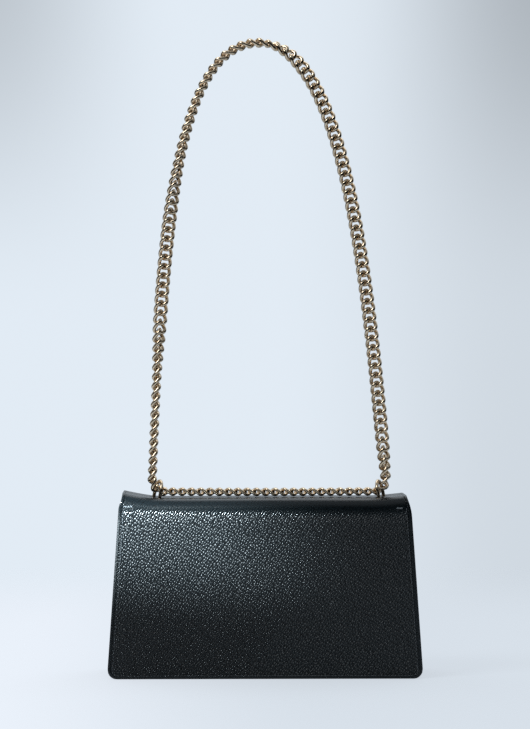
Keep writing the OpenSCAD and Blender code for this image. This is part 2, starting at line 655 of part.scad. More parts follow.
// Stirrup that turns on its own pin in the slider's lug, hanging down the wall
module zip_puller() color("#c9ad7f") on_back() translate([slider_x, pin_d, zip_z]) {
    arm_x = puller_w / 2 - arm_w;
    translate([-arm_x - arm_w / 2, 0, 0]) rotate([0, 90, 0]) cylinder(r = pin_r, h = 2 * arm_x + arm_w, $fn = 32);
    for (m = [0, 1]) mirror([m, 0, 0]) translate([arm_x, -puller_t / 2, -puller_l])
        cube([arm_w, puller_t, puller_l + pin_r]);
    translate([-puller_w / 2, -puller_t / 2, -puller_l]) cube([puller_w, puller_t, arm_w]);
}

// Leather tab folded through the stirrup
module puller_tab() color("#1f2427") on_back() translate([slider_x, pin_d, zip_z]) {
    inner_w = puller_w - 2 * arm_w - 2 * ply_gap;
    loop_t = puller_t + 2 * ply_gap;
    top_z = -puller_l + arm_w + ply_gap;
    low_z = -puller_l - ply_gap;
    difference() {
        union() {
            translate([-inner_w / 2, -loop_t / 2 - tab_t / 2, low_z])
                cube([inner_w, loop_t + tab_t, top_z - low_z + tab_t / 2]);
            translate([0, loop_t / 2 + tab_t / 2, 0]) rotate([90, 0, 0]) linear_extrude(loop_t + tab_t)
                polygon([[-inner_w / 2, low_z], [inner_w / 2, low_z], [puller_w / 2, low_z - tab_t],
                         [puller_w / 2, low_z - tab_l], [puller_w / 4, low_z - tab_l - tab_t],
                         [-puller_w / 4, low_z - tab_l - tab_t], [-puller_w / 2, low_z - tab_l],
                         [-puller_w / 2, low_z - tab_t]]);
        }
        translate([-inner_w / 2 - cut, -loop_t / 2, low_z])
            cube([inner_w + 2 * cut, loop_t, top_z - low_z]);
    }
}

// Open pocket sewn to the front lining along its sides and its bottom
module slip_pocket() color("#1f2427") on_front() {
    d = lining_d + lining_t + ply_gap;
    block(slip_w, d + slip_gap, gusset_t, slip_z, slip_z + slip_h);
    block(slip_w, d, slip_gap, slip_z, slip_z + slip_side_w);
    for (m = [0, 1]) mirror([m, 0, 0]) translate([slip_w / 2 - slip_side_w, d, slip_z])
        cube([slip_side_w, slip_gap, slip_h]);
}

module ring_plate_left() ring_plate(0);
module ring_plate_right() ring_plate(1);
module ring_saddle_left() ring_saddle(0);
module ring_saddle_right() ring_saddle(1);
module ring_left() ring(0);
module ring_right() ring(1);

back_panel();
front_panel();
base_panel();
gusset_left();
gusset_right();
gusset_lining_left();
gusset_lining_right();
back_board();
front_board();
base_board();
back_lining();
front_lining();
base_lining();
top_facing();
front_facing();
top_stay();
ring_plate_left();
ring_plate_right();
ring_saddle_left();
ring_saddle_right();
ring_rivets();
zip_pouch();
zip_tape();
zip_teeth();
zip_stops();
slip_pocket();
snap_socket();
snap_socket_washer();
flap_panel();
flap_board();
flap_lining();
snap_stud();
snap_stud_washer();
zip_slider();
zip_puller();
puller_tab();
ring_left();
ring_right();
chain_top();
chain_right();
chain_left();
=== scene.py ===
"""Looks of a structured leather flap bag that is carried on a curb chain.

Each sub-assembly of the bag is a class that holds its sizes in metres, builds its meshes and dresses them.
"""

import logging
import math
from dataclasses import dataclass, field
from enum import Enum
from typing import Iterable, Sequence

import bmesh
import bpy
import numpy as np
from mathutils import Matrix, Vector


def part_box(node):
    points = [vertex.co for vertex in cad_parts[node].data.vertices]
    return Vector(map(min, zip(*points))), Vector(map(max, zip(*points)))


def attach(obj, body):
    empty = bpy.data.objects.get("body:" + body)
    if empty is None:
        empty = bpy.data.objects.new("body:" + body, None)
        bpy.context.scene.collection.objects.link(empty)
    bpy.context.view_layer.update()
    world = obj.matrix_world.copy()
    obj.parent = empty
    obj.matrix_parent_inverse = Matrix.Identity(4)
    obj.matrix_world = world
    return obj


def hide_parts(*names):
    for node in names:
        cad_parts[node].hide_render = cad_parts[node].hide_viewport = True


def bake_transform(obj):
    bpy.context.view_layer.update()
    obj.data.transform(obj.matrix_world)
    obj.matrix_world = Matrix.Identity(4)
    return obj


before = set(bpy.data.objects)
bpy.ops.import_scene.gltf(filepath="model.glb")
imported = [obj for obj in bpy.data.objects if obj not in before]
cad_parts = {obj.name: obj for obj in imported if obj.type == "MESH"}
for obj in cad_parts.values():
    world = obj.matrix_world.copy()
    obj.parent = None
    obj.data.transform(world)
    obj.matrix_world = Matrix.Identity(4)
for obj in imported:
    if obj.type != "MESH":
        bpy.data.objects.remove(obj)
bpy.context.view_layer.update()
LOG = logging.getLogger("flap_bag")
MM = 0.001
EDGE_FACES = 4

Array = np.ndarray
Socket = bpy.types.NodeSocket
Object = bpy.types.Object
Colour = tuple[float, float, float]
Faces = list[list[int]]
Laid = tuple[Array, Array]


class Body(Enum):
    """Moving bodies of the bag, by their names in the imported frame."""

    BAG = "bag"
    FLAP = "flap"
    SLIDER = "slider"
    PULLER = "puller"
    LEFT_RING = "left_ring"
    RIGHT_RING = "right_ring"
    CHAIN = "chain"


class Slot(Enum):
    """Material slots of the record."""

    LEATHER = "leather"
    SMOOTH = "smooth_leather"
    LINING = "lining"
    BOARD = "board"
    TAPE = "tape"
    STEEL = "steel"
    GOLD = "gold"


def ease(value: Array | float, low: float, high: float) -> Array | float:
    """Eases from 0 at low to 1 at high.

    Args:
        value: One number or an array.
        low: Value that gives 0.
        high: Value that gives 1.

    Returns:
        The eased share, of the same shape as value.
    """
    t = np.clip((value - low) / (high - low), 0.0, 1.0)
    return t * t * (3 - 2 * t)


# ---------------------------------------------------------------------------------------------- finishes


class Wiring:
    """Hand for wiring the nodes of one tree."""

    def __init__(self, tree: bpy.types.NodeTree) -> None:
        """Takes a tree, and its Principled shader where it has one."""
        self.tree = tree
        self.shader = tree.nodes.get("Principled BSDF")

    def add(self, kind: str, *feeds: Socket | float | Sequence[float], **settings: object) -> bpy.types.Node:
        """Adds a node.

        Args:
            kind: Blender's name of the node type, without its ShaderNode prefix.
            *feeds: Sockets or values for its inputs, from the first one on.
            **settings: Attributes of the node, or values of the inputs that bear these names in capitals.

        Returns:
            The new node.
        """
        node = self.tree.nodes.new("ShaderNode" + kind)
        for key, value in settings.items():
            if hasattr(node, key):
                setattr(node, key, value)
            else:
                node.inputs[key.replace("_", " ").title()].default_value = value
        for feed, socket in zip(feeds, node.inputs):
            if isinstance(feed, Socket):
                self.wire(feed, socket)
            else:
                socket.default_value = feed
        return node

    def wire(self, start: Socket, end: Socket) -> None:
        """Joins two sockets."""
        self.tree.links.new(start, end)

    def place(self, scale: float | Sequence[float], turn: Sequence[float] = (0, 0, 0)) -> Socket:
        """Gives the object's own coordinates, turned and scaled.

        Args:
            scale: Repeats per metre, along all axes or along each.
            turn: Turn about each axis in degrees.

        Returns:
            The vector socket.
        """
        repeats = [float(v) for v in np.broadcast_to(scale, 3)]
        return self.add("Mapping", self.add("TexCoord").outputs["Object"], scale=repeats,
                        rotation=[math.radians(a) for a in turn]).outputs["Vector"]

    def noise(self, vector: Socket, scale: float, detail: float = 2.0, rough: float = 0.5) -> Socket:
        """Adds noise.

        Args:
            vector: Where the noise is read.
            scale: Scale of the noise.
            detail: Number of finer octaves.
            rough: Share that each finer octave adds.

        Returns:
            The value socket.
        """
        return self.add("TexNoise", vector, scale=scale, detail=detail, roughness=rough).outputs["Fac"]

    def bands(self, direction: str, scale: float, **settings: object) -> Socket:
        """Adds a wave of straight bands.

        Args:
            direction: Axis across the bands, or DIAGONAL.
            scale: Scale of the bands.
            **settings: Further settings of the node.

        Returns:
            The value socket.
        """
        return self.add("TexWave", self.place(1), wave_type="BANDS", bands_direction=direction, scale=scale,
                        **settings).outputs["Fac"]

    def math(self, operation: str, first: object, second: object = 0.0, clamp: bool = False) -> Socket:
        """Works out one value from two.

        Args:
            operation: Name of the operation.
            first: Socket or number.
            second: Socket or number.
            clamp: Whether the result is kept between 0 and 1.

        Returns:
            The value socket.
        """
        return self.add("Math", first, second, operation=operation, use_clamp=clamp).outputs[0]

    def total(self, first: Socket, weight: float, second: Socket, other: float = 1.0) -> Socket:
        """Adds two values.

        Args:
            first: First value.
            weight: What it is multiplied by.
            second: Second value.
            other: What that is multiplied by.

        Returns:
            The value socket.
        """
        return self.math("ADD", self.math("MULTIPLY", first, weight), self.math("MULTIPLY", second, other))

    def span(self, value: Socket, low: float, high: float, to_low: float, to_high: float) -> Socket:
        """Maps a value smoothly from one range to another.

        Args:
            value: The value.
            low: Start of its range.
            high: End of its range.
            to_low: Result at the start.
            to_high: Result at the end.

        Returns:
            The value socket.
        """
        node = self.add("MapRange", value, low, high, to_low, to_high, interpolation_type="SMOOTHSTEP")
        return node.outputs["Result"]

    def blend(self, share: Socket, first: Colour, second: Colour) -> Socket:
        """Mixes two colours.

        Args:
            share: Share of the second colour.
            first: First colour.
            second: Second colour.

        Returns:
            The colour socket.
        """
        node = self.add("Mix", share, data_type="RGBA")
        for socket, colour in zip((s for s in node.inputs if s.type == "RGBA"), (first, second)):
            socket.default_value = (*colour, 1)
        return next(s for s in node.outputs if s.type == "RGBA")

    def mix(self, share: Socket, first: bpy.types.Node, second: bpy.types.Node) -> bpy.types.Node:
        """Mixes two shaders by the share of the second one."""
        return self.add("MixShader", share, first.outputs[0], second.outputs[0])

    def read(self, name: str) -> Socket:
        """Gives a value that is stored at the mesh's points."""
        return self.add("Attribute", attribute_name=name).outputs["Fac"]

    def relief(self, height: Socket, depth: float, strength: float = 1.0) -> None:
        """Drives the surface's relief.

        Args:
            height: Height from 0 to 1.
            depth: Depth of the relief in metres.
            strength: Share of the relief that shows.
        """
        bump = self.add("Bump", strength=strength, distance=depth)
        self.wire(height, bump.inputs["Height"])
        self.wire(bump.outputs["Normal"], self.shader.inputs["Normal"])

    def coat(self, tone: Socket, dark: Colour, light: Colour, rough: Socket) -> None:
        """Colours the surface.

        Args:
            tone: Share of the light colour.
            dark: Dark colour.
            light: Light colour.
            rough: Roughness.
        """
        self.wire(self.blend(tone, dark, light), self.shader.inputs["Base Color"])
        self.wire(rough, self.shader.inputs["Roughness"])

    def set(self, **values: float) -> None:
        """Sets constant values on the shader, by input names in lower case with underscores."""
        names = {s.name.lower().replace(" ", "_"): s for s in self.shader.inputs}
        for key, value in values.items():
            names[key].default_value = value


@dataclass(frozen=True)
class Finish:
    """What a surface is made of."""

    name: str
    slot: Slot | None

    def make(self) -> bpy.types.Material:
        """Makes the material.

        Returns:
            The material, named after the finish.
        """
        material = bpy.data.materials.new(self.name)
        material.use_nodes = True
        self.paint(Wiring(material.node_tree))
        return material

    def paint(self, w: Wiring) -> None:
        """Wires the material's nodes."""
        raise NotImplementedError


@dataclass(frozen=True)
class PebbledLeather(Finish):
    """Drum-dyed calf with a raised, slanting pebble that runs over the folds, flattened along seams."""

    name: str = "pebbled_leather"
    slot: Slot = Slot.LEATHER
    # Colours of the domes and of the creases; the darker creases are painted shade.
    dome: Colour = (0.0046, 0.0078, 0.0096)
    painted_crease_shade: Colour = (0.0010, 0.0015, 0.0019)
    cell: float = 2.1 * MM
    stretch: float = 1.36
    slant: float = 34.0
    depth: float = 0.95 * MM
    chance: float = 0.6
    groove: float = 3.0
    end_facing: float = 0.7
    edge_share: float = 0.22

    def pattern(self, w: Wiring) -> Socket:
        """Gives flat coordinates that follow the hide up the back, over the top and down the flap.

        Args:
            w: Wiring of the material.

        Returns:
            The vector socket, in which one pebble is one unit.
        """
        here = w.add("TexCoord")
        x, y, z = w.add("SeparateXYZ", here.outputs["Object"]).outputs
        facing = w.add("SeparateXYZ", here.outputs["Normal"]).outputs["X"]
        end = w.math("GREATER_THAN", w.math("ABSOLUTE", facing), self.end_facing)
        back = w.math("SUBTRACT", 1.0, end)
        across = w.math("ADD", w.math("MULTIPLY", x, back), w.math("MULTIPLY", y, end))
        up = w.math("ADD", z, w.math("MULTIPLY", y, back))
        return w.add("Mapping", w.add("CombineXYZ", across, up).outputs[0], vector_type="TEXTURE",
                     rotation=(0, 0, math.radians(-self.slant)),
                     scale=(self.cell, self.cell * self.stretch, self.cell)).outputs[0]

    def paint(self, w: Wiring) -> None:
        """Wires domes and creases, with painted shade in the creases, a groove inside the edge and a gloss on the
        domes' tops.
        """
        base = self.pattern(w)
        drift = w.add("TexNoise", base, scale=0.6).outputs["Color"]
        moved = w.add("VectorMath", drift, (0.3, 0.3, 0.3), base, operation="MULTIPLY_ADD").outputs[0]
        cells, edges = (w.add("TexVoronoi", moved, feature=kind, voronoi_dimensions="2D", randomness=self.chance,
                              scale=1.0).outputs["Distance"] for kind in ("F1", "DISTANCE_TO_EDGE"))
        round_top = w.math("SUBTRACT", 1.0, w.math("POWER", w.math("MULTIPLY", cells, 1.25), 2.0))
        dome = w.total(round_top, 1 - self.edge_share, w.span(edges, 0.0, 0.22, 0.0, 1.0), self.edge_share)
        pebble = w.total(w.noise(base, 4.0, 2.0, 0.6), 0.03, dome)
        rim, grain = w.read("rim"), w.read("grain")
        raised = w.math("MULTIPLY", grain, w.span(rim, self.groove - 0.2, self.groove + 1.4, 0.10, 1.0))
        shown = w.math("MULTIPLY", w.math("SUBTRACT", pebble, 0.75), raised)
        off = w.math("ABSOLUTE", w.math("SUBTRACT", rim, self.groove))
        w.relief(w.math("ADD", shown, w.span(off, 0.1, 0.95, -0.8, 0.0)), self.depth)
        cloud = w.span(w.noise(w.place(14), 1.0, 3.0), 0.3, 0.7, 0.8, 1.1)
        # Painted shade: the colour is darker in the creases between the pebbles and lighter on the domes, varied at
        # random by the clouds.
        w.coat(w.math("MULTIPLY", dome, cloud, True), self.painted_crease_shade, self.dome,
               w.total(grain, 0.17, w.span(shown, -0.6, -0.1, 0.40, 0.20)))
        w.set(specular_ior_level=0.42)


@dataclass(frozen=True)
class SmoothLeather(Finish):
    """Thin smooth leather with fine pores and a soft sheen."""

    name: str = "smooth_leather"
    slot: Slot = Slot.SMOOTH
    light: Colour = (0.017, 0.0185, 0.0205)
    dark: Colour = (0.009, 0.010, 0.011)
    depth: float = 0.10 * MM

    def paint(self, w: Wiring) -> None:
        """Wires pores over faint clouds."""
        place = w.place(700)
        pores = w.add("TexVoronoi", place, feature="SMOOTH_F1", scale=1.6).outputs["Distance"]
        w.relief(w.total(pores, 0.6, w.noise(place, 0.5, 4.0), 0.5), self.depth, 0.8)
        cloud = w.noise(w.place(22), 1.0, 3.0)
        w.coat(cloud, self.dark, self.light, w.span(cloud, 0.3, 0.7, 0.52, 0.42))


@dataclass(frozen=True)
class EdgePaint(Finish):
    """Black edge paint over the cut edges of the leather, glossy and a little lumpy."""

    name: str = "edge_paint"
    slot: Slot = Slot.LEATHER
    light: Colour = (0.016, 0.017, 0.019)
    dark: Colour = (0.008, 0.009, 0.010)

    def paint(self, w: Wiring) -> None:
        """Wires the lumps."""
        lumps = w.noise(w.place(420), 1.0, 2.0)
        w.relief(lumps, 0.12 * MM)
        w.coat(lumps, self.dark, self.light, w.span(lumps, 0.2, 0.8, 0.30, 0.46))


@dataclass(frozen=True)
class TwillLining(Finish):
    """Cotton twill with diagonal ribs."""

    name: str = "twill_lining"
    slot: Slot = Slot.LINING
    rib: float = 0.55 * MM
    density: float = 1.6
    wave_turn: float = 6.2832
    light: Colour = (0.235, 0.19, 0.155)
    dark: Colour = (0.125, 0.098, 0.078)

    def paint(self, w: Wiring) -> None:
        """Wires ribs with a light fuzz."""
        ribs = w.bands("DIAGONAL", self.density / self.rib / self.wave_turn, wave_profile="SIN", distortion=0.6,
                       detail_scale=2.0)
        fuzz = w.noise(w.place(900), 1.0, 3.0)
        cloth = w.total(ribs, 0.7, fuzz, 0.3)
        w.relief(cloth, 0.16 * MM)
        w.coat(cloth, self.dark, self.light, w.span(fuzz, 0.2, 0.8, 0.82, 0.95))
        w.set(sheen_weight=0.25, sheen_roughness=0.5)


@dataclass(frozen=True)
class WovenTape(Finish):
    """Close weave of the zip's tapes."""

    name: str = "woven_tape"
    slot: Slot = Slot.TAPE
    light: Colour = (0.03, 0.03, 0.033)
    dark: Colour = (0.008, 0.008, 0.009)

    def paint(self, w: Wiring) -> None:
        """Wires warp and weft."""
        warp, weft = (w.bands(axis, scale, distortion=0.4) for axis, scale in (("X", 170.0), ("Z", 240.0)))
        weave = w.math("MULTIPLY", warp, weft)
        w.relief(weave, 0.14 * MM)
        w.coat(weave, self.dark, self.light, w.span(weave, 0.0, 1.0, 0.9, 0.75))


@dataclass(frozen=True)
class FibreBoard(Finish):
    """Pressed fibre board of the stiffeners."""

    name: str = "fibre_board"
    slot: Slot = Slot.BOARD
    light: Colour = (0.30, 0.23, 0.165)
    dark: Colour = (0.17, 0.12, 0.08)

    def paint(self, w: Wiring) -> None:
        """Wires long fibres."""
        fibres = w.noise(w.place((900, 260, 900)), 1.0, 4.0, 0.7)
        w.relief(fibres, 0.1 * MM)
        w.coat(fibres, self.dark, self.light, w.span(fibres, 0.3, 0.7, 0.85, 0.95))


@dataclass(frozen=True)
class Thread(Finish):
    """Waxed sewing thread."""

    name: str = "waxed_thread"
    slot: Slot = Slot.LEATHER
    dark: Colour = (0.030, 0.034, 0.038)
    light: Colour = (0.105, 0.113, 0.120)

    def paint(self, w: Wiring) -> None:
        """Wires the twist of the plies."""
        twist = w.bands("DIAGONAL", 900.0)
        w.relief(twist, 0.08 * MM)
        w.coat(twist, self.dark, self.light, w.span(twist, 0.0, 1.0, 0.65, 0.5))


@dataclass(frozen=True)
class Plate(Finish):
    """Metal with a thin polished plate that has fine handling marks."""

    light: Colour
    dark: Colour
    rough: tuple[float, float]

    def paint(self, w: Wiring) -> None:
        """Wires clouds of tone and fine marks."""
        cloud = w.noise(w.place(260), 1.0, 3.0)
        marks = w.noise(w.place((2600, 900, 2600), (20, 30, 10)), 1.0, 2.0)
        w.relief(w.total(marks, 0.4, cloud), 0.035 * MM, 0.7)
        w.coat(cloud, self.dark, self.light, w.span(marks, 0.3, 0.75, *self.rough))
        w.set(metallic=1.0)


@dataclass(frozen=True)
class StudioPaper(Finish):
    """Pale, cool paper of the studio's floor, which fades into the backdrop; its colour is painted darker from left to
    right, a painted fall-off of the light.
    """

    name: str = "studio_paper"
    slot: Slot | None = None
    # Paper colours on the left and on the right; the darker right is a painted fall-off of the light.
    left: Colour = (0.88, 0.93, 1.0)
    right: Colour = (0.74, 0.80, 0.865)
    turn: tuple[float, float] = (-0.25, 0.05)
    fade: tuple[float, float] = (0.5, 1.4)
    own: float = 0.75

    def paint(self, w: Wiring) -> None:
        """Wires paper that shows the camera mostly its own colour, and nothing far from the middle."""
        place = w.place(1)
        x = w.add("SeparateXYZ", place).outputs["X"]
        # Painted light: the colour turns from the light left tone to the darker right tone across the floor.
        tone = w.blend(w.span(x, *self.turn, 0.0, 1.0), self.left, self.right)
        w.wire(tone, w.shader.inputs["Base Color"])
        w.set(roughness=0.95, specular_ior_level=0.1)
        seen = w.math("MULTIPLY", w.add("LightPath").outputs["Is Camera Ray"], self.own)
        shown = w.mix(seen, w.shader, w.add("Emission", tone))
        far = w.add("VectorMath", place, operation="LENGTH").outputs["Value"]
        faded = w.mix(w.span(far, *self.fade, 0.0, 1.0), shown, w.add("BsdfTransparent"))
        w.wire(faded.outputs[0], w.tree.nodes["Material Output"].inputs["Surface"])


@dataclass
class Finishes:
    """All the finishes of the bag, each made once when it is first asked for."""

    made: dict[str, bpy.types.Material] = field(default_factory=dict)

    leather = PebbledLeather()
    smooth = SmoothLeather()
    paint = EdgePaint()
    lining = TwillLining()
    tape = WovenTape()
    board = FibreBoard()
    thread = Thread()
    # Thread of the bar tacks, several times lighter than the seams' thread.
    light_tack_thread = Thread("tack_thread", Slot.LEATHER, (0.16, 0.175, 0.185), (0.42, 0.44, 0.46))
    pale_thread = Thread("lining_thread", Slot.LINING, (0.10, 0.08, 0.065), (0.24, 0.20, 0.165))
    gold = Plate("pale_gold", Slot.GOLD, (0.85, 0.705, 0.515), (0.54, 0.40, 0.27), (0.13, 0.24))
    steel = Plate("nickel_steel", Slot.STEEL, (0.62, 0.61, 0.58), (0.44, 0.43, 0.41), (0.25, 0.42))

    def get(self, finish: Finish) -> bpy.types.Material:
        """Gives the material of a finish.

        Args:
            finish: One of the finishes above.

        Returns:
            Its material.
        """
        if finish.name not in self.made:
            self.made[finish.name] = finish.make()
        return self.made[finish.name]


FINISHES = Finishes()


# ---------------------------------------------------------------------------------------------- mesh tools


def dress(obj: Object, finish: Finish, body: Body, *nodes: str, edge: Finish | None = None,
          bend: tuple[Body, Sequence[float], Sequence[float]] | None = None) -> None:
    """Dresses a new piece and hangs it on its body, unless it crosses a joint.

    Args:
        obj: The piece.
        finish: Its finish.
        body: The body that carries it.
        *nodes: Nodes of the frame that it stands for.
        edge: Finish of its edges, where they have their own.
        bend: Second body, start and end of the bend, for a piece that crosses a joint. Only whether it is given is
            used: such a piece has its placing baked in, hangs on no body and is not bent.
    """
    obj.data.materials.clear()
    for layer in (finish, edge):
        if layer is not None:
            obj.data.materials.append(FINISHES.get(layer))
    if bend is None:
        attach(obj, body.value)
    else:
        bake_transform(obj)
    if nodes:
        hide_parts(*nodes)
    LOG.info("%s: %d faces", obj.name, len(obj.data.polygons))


def mesh_object(name: str, points: Array, faces: Sequence[Sequence[int]], smooth: bool = True,
                marks: dict[str, Array] | None = None, slots: Array | None = None) -> Object:
    """Makes a mesh object from points and faces.

    Args:
        name: Name of the object.
        points: Points, one row each.
        faces: Point numbers of each face.
        smooth: Whether the faces are shaded smooth.
        marks: Values stored at the points, by name.
        slots: Material number of each face.

    Returns:
        The object, linked to the scene.
    """
    mesh = bpy.data.meshes.new(name)
    mesh.from_pydata([tuple(p) for p in points.tolist()], [], [tuple(f) for f in faces])
    mesh.polygons.foreach_set("use_smooth", [smooth] * len(mesh.polygons))
    for key, values in (marks or {}).items():
        mesh.attributes.new(key, "FLOAT", "POINT").data.foreach_set("value", values.astype(np.float32))
    if slots is not None:
        mesh.polygons.foreach_set("material_index", slots.astype(np.int32))
    mesh.validate()
    mesh.update()
    obj = bpy.data.objects.new(name, mesh)
    bpy.context.scene.collection.objects.link(obj)
    return obj


def recalc(obj: Object) -> Object:
    """Turns all the faces of a mesh outwards and returns the object."""
    bm = bmesh.new()
    bm.from_mesh(obj.data)
    bmesh.ops.recalc_face_normals(bm, faces=bm.faces[:])
    bm.to_mesh(obj.data)
    bm.free()
    return obj


def bands(loops: Array) -> Faces:
    """Gives the faces between each closed loop of point numbers and the next one."""
    after = np.roll(loops, -1, axis=1)
    return np.stack([loops[:-1], after[:-1], after[1:], loops[1:]], 2).reshape(-1, 4).tolist()


def stack(layers: int, sides: int) -> Faces:
    """Gives the faces of a closed body whose points run round it, layer by layer."""
    loops = np.arange(layers * sides).reshape(layers, sides)
    return bands(loops) + [loops[0][::-1].tolist(), loops[-1].tolist()]


def copies(name: str, shapes: Sequence[Array], faces: Faces, smooth: bool = True) -> Object:
    """Makes one mesh object of many like bodies.

    Args:
        name: Name of the object.
        shapes: Points of each body.
        faces: Faces of one body.
        smooth: Whether the faces are shaded smooth.

    Returns:
        The object.
    """
    size = len(shapes[0])
    every = [[v + k * size for v in f] for k in range(len(shapes)) for f in faces]
    return mesh_object(name, np.concatenate(shapes), every, smooth)


def sheet_object(name: str, outer: Array, inner: Array, marks: dict[str, Array] | None = None,
                 painted: bool = False) -> Object:
    """Makes a closed sheet with rounded edges between two grids of points.

    Args:
        name: Name of the object.
        outer: Outer face, rows by columns by three.
        inner: Inner face, of the same shape.
        marks: Values stored at the points of both faces, rows by columns each.
        painted: Whether the rounded edge takes the second material.

    Returns:
        The object.
    """
    n, m = outer.shape[:2]
    outer, inner = outer.copy(), inner.copy()
    ring = ([(0, j) for j in range(m)] + [(i, m - 1) for i in range(1, n)]
            + [(n - 1, j) for j in range(m - 2, -1, -1)] + [(i, 0) for i in range(n - 2, 0, -1)])
    ri, rj = np.array(ring).T
    qi, qj = np.clip(ri, 1, n - 2), np.clip(rj, 1, m - 2)
    mid = (outer[ri, rj] + inner[ri, rj]) / 2
    away = mid - (outer[qi, qj] + inner[qi, qj]) / 2
    length = np.linalg.norm(away, axis=1, keepdims=True) + 1e-12
    away /= length
    half = (outer[ri, rj] - inner[ri, rj]) / 2
    away *= np.minimum(np.linalg.norm(half, axis=1, keepdims=True), 0.45 * length)
    outer[ri, rj] -= away
    inner[ri, rj] -= away
    rows = [mid - away + half * math.cos(a) + away * math.sin(a)
            for a in np.linspace(0, math.pi, EDGE_FACES + 1)[1:-1]]
    points = np.concatenate([outer.reshape(-1, 3), inner.reshape(-1, 3)] + rows)
    under, count = n * m, len(ring)
    at = np.arange(under).reshape(n, m)
    a, b, c, d = (part.ravel() for part in (at[:-1, :-1], at[:-1, 1:], at[1:, 1:], at[1:, :-1]))
    edge = at[ri, rj]
    loops = [edge] + [2 * under + k * count + np.arange(count) for k in range(EDGE_FACES - 1)] + [edge + under]
    flat = np.concatenate([np.stack([a, b, c, d], 1), np.stack([a, d, c, b], 1) + under]).tolist()
    slots = np.concatenate([np.zeros(len(flat)), np.full(count * EDGE_FACES, int(painted))])
    stored = {key: np.concatenate([values.ravel(), values.ravel()] + [values.ravel()[edge]] * (EDGE_FACES - 1))
              for key, values in (marks or {}).items()}
    return recalc(mesh_object(name, points, flat + bands(np.array(loops)), True, stored, slots))


def carve(obj: Object, cutter: Object) -> None:
    """Cuts one mesh out of another and removes the cutter.

    Args:
        obj: The mesh that is cut.
        cutter: The mesh that is taken away.
    """
    tool = obj.modifiers.new("cut", "BOOLEAN")
    tool.operation = "DIFFERENCE"
    tool.solver = "EXACT"
    tool.object = cutter
    depsgraph = bpy.context.evaluated_depsgraph_get()
    cut = bpy.data.meshes.new_from_object(obj.evaluated_get(depsgraph), depsgraph=depsgraph)
    obj.modifiers.clear()
    obj.data = cut
    bpy.data.objects.remove(cutter)


def prism(name: str, outline: Array, low: Array, high: Array) -> Object:
    """Makes a closed prism, for cutting.

    Args:
        name: Name of the object.
        outline: Points of the outline, one row each.
        low: Offset of the first end.
        high: Offset of the second end.

    Returns:
        The object.
    """
    points = np.concatenate([outline + low, outline + high])
    return recalc(mesh_object(name, points, stack(2, len(outline)), False))


def resample(points: Array, step: float) -> Array:
    """Spaces points evenly along a line.

    Args:
        points: The line's points.
        step: Wanted distance.

    Returns:
        The new points.
    """
    lengths = np.concatenate([[0], np.cumsum(np.linalg.norm(np.diff(points, axis=0), axis=1))])
    at = np.linspace(0, lengths[-1], max(2, int(round(lengths[-1] / step)) + 1))
    return np.stack([np.interp(at, lengths, column) for column in points.T], 1)


def fillet(points: Sequence[Sequence[float]], cut: float, steps: int) -> Array:
    """Rounds the inner corners of a line.

    Args:
        points: The line's points.
        cut: Length that each corner takes from its two legs.
        steps: Number of points on each rounded corner.

    Returns:
        The rounded line's points.
    """
    p = np.array(points, float)
    out = [p[0]]
    for a, b, c in zip(p, p[1:], p[2:]):
        la, lc = np.linalg.norm(a - b), np.linalg.norm(c - b)
        s = b + (a - b) / la * min(cut, la * 0.45)
        e = b + (c - b) / lc * min(cut, lc * 0.45)
        out += [(1 - t) ** 2 * s + 2 * (1 - t) * t * b + t * t * e for t in np.linspace(0, 1, steps)]
    return np.array(out + [p[-1]])


@dataclass(frozen=True)
class Seam:
    """A row of stitches: short capsules of thread, half sunk in the leather."""

    pitch: float = 3.0 * MM
    share: float = 0.76
    radius: float = 0.42 * MM
    slant: float = 7.0
    rings: int = 6
    sides: int = 6

    def capsule(self) -> Array:
        """Gives the points of one stitch along X, ring by ring."""
        t = np.linspace(0, 1, self.rings + 1)[:, None]
        a = 2 * math.pi * np.arange(self.sides) / self.sides
        r = self.radius * (0.35 + 0.65 * np.sin(math.pi * np.clip(t, 0.02, 0.98)) ** 0.5)
        dip = -self.radius * 0.9 * (2 * t - 1) ** 4
        along = (t - 0.5) * self.pitch * self.share + 0 * a
        return np.stack([along, r * np.cos(a), r * np.sin(a) + dip], 2).reshape(-1, 3)

    def sew(self, name: str, lines: Iterable[Laid]) -> Object:
        """Sews along lines.

        Args:
            name: Name of the object.
            lines: Points of each line, and the directions that face out of the leather there.

        Returns:
            One object that holds all the stitches.
        """
        base, shapes = self.capsule(), []
        tilt = math.radians(self.slant)
        for line, out in lines:
            both = resample(np.concatenate([line, out], 1), self.pitch)
            spots, normals = both[:, :3], both[:, 3:]
            along = spots[1:] - spots[:-1]
            along /= np.linalg.norm(along, axis=1, keepdims=True)
            up = (normals[1:] + normals[:-1]) / 2
            up -= along * np.sum(up * along, axis=1, keepdims=True)
            up /= np.linalg.norm(up, axis=1, keepdims=True)
            turned = along * math.cos(tilt) + np.cross(up, along) * math.sin(tilt)
            for middle, a, b, c in zip((spots[1:] + spots[:-1]) / 2, turned, np.cross(up, turned), up):
                shapes.append(middle + base @ np.array([a, b, c]))
        return copies(name, shapes, stack(self.rings + 1, self.sides))


# ---------------------------------------------------------------------------------------------- the body's form


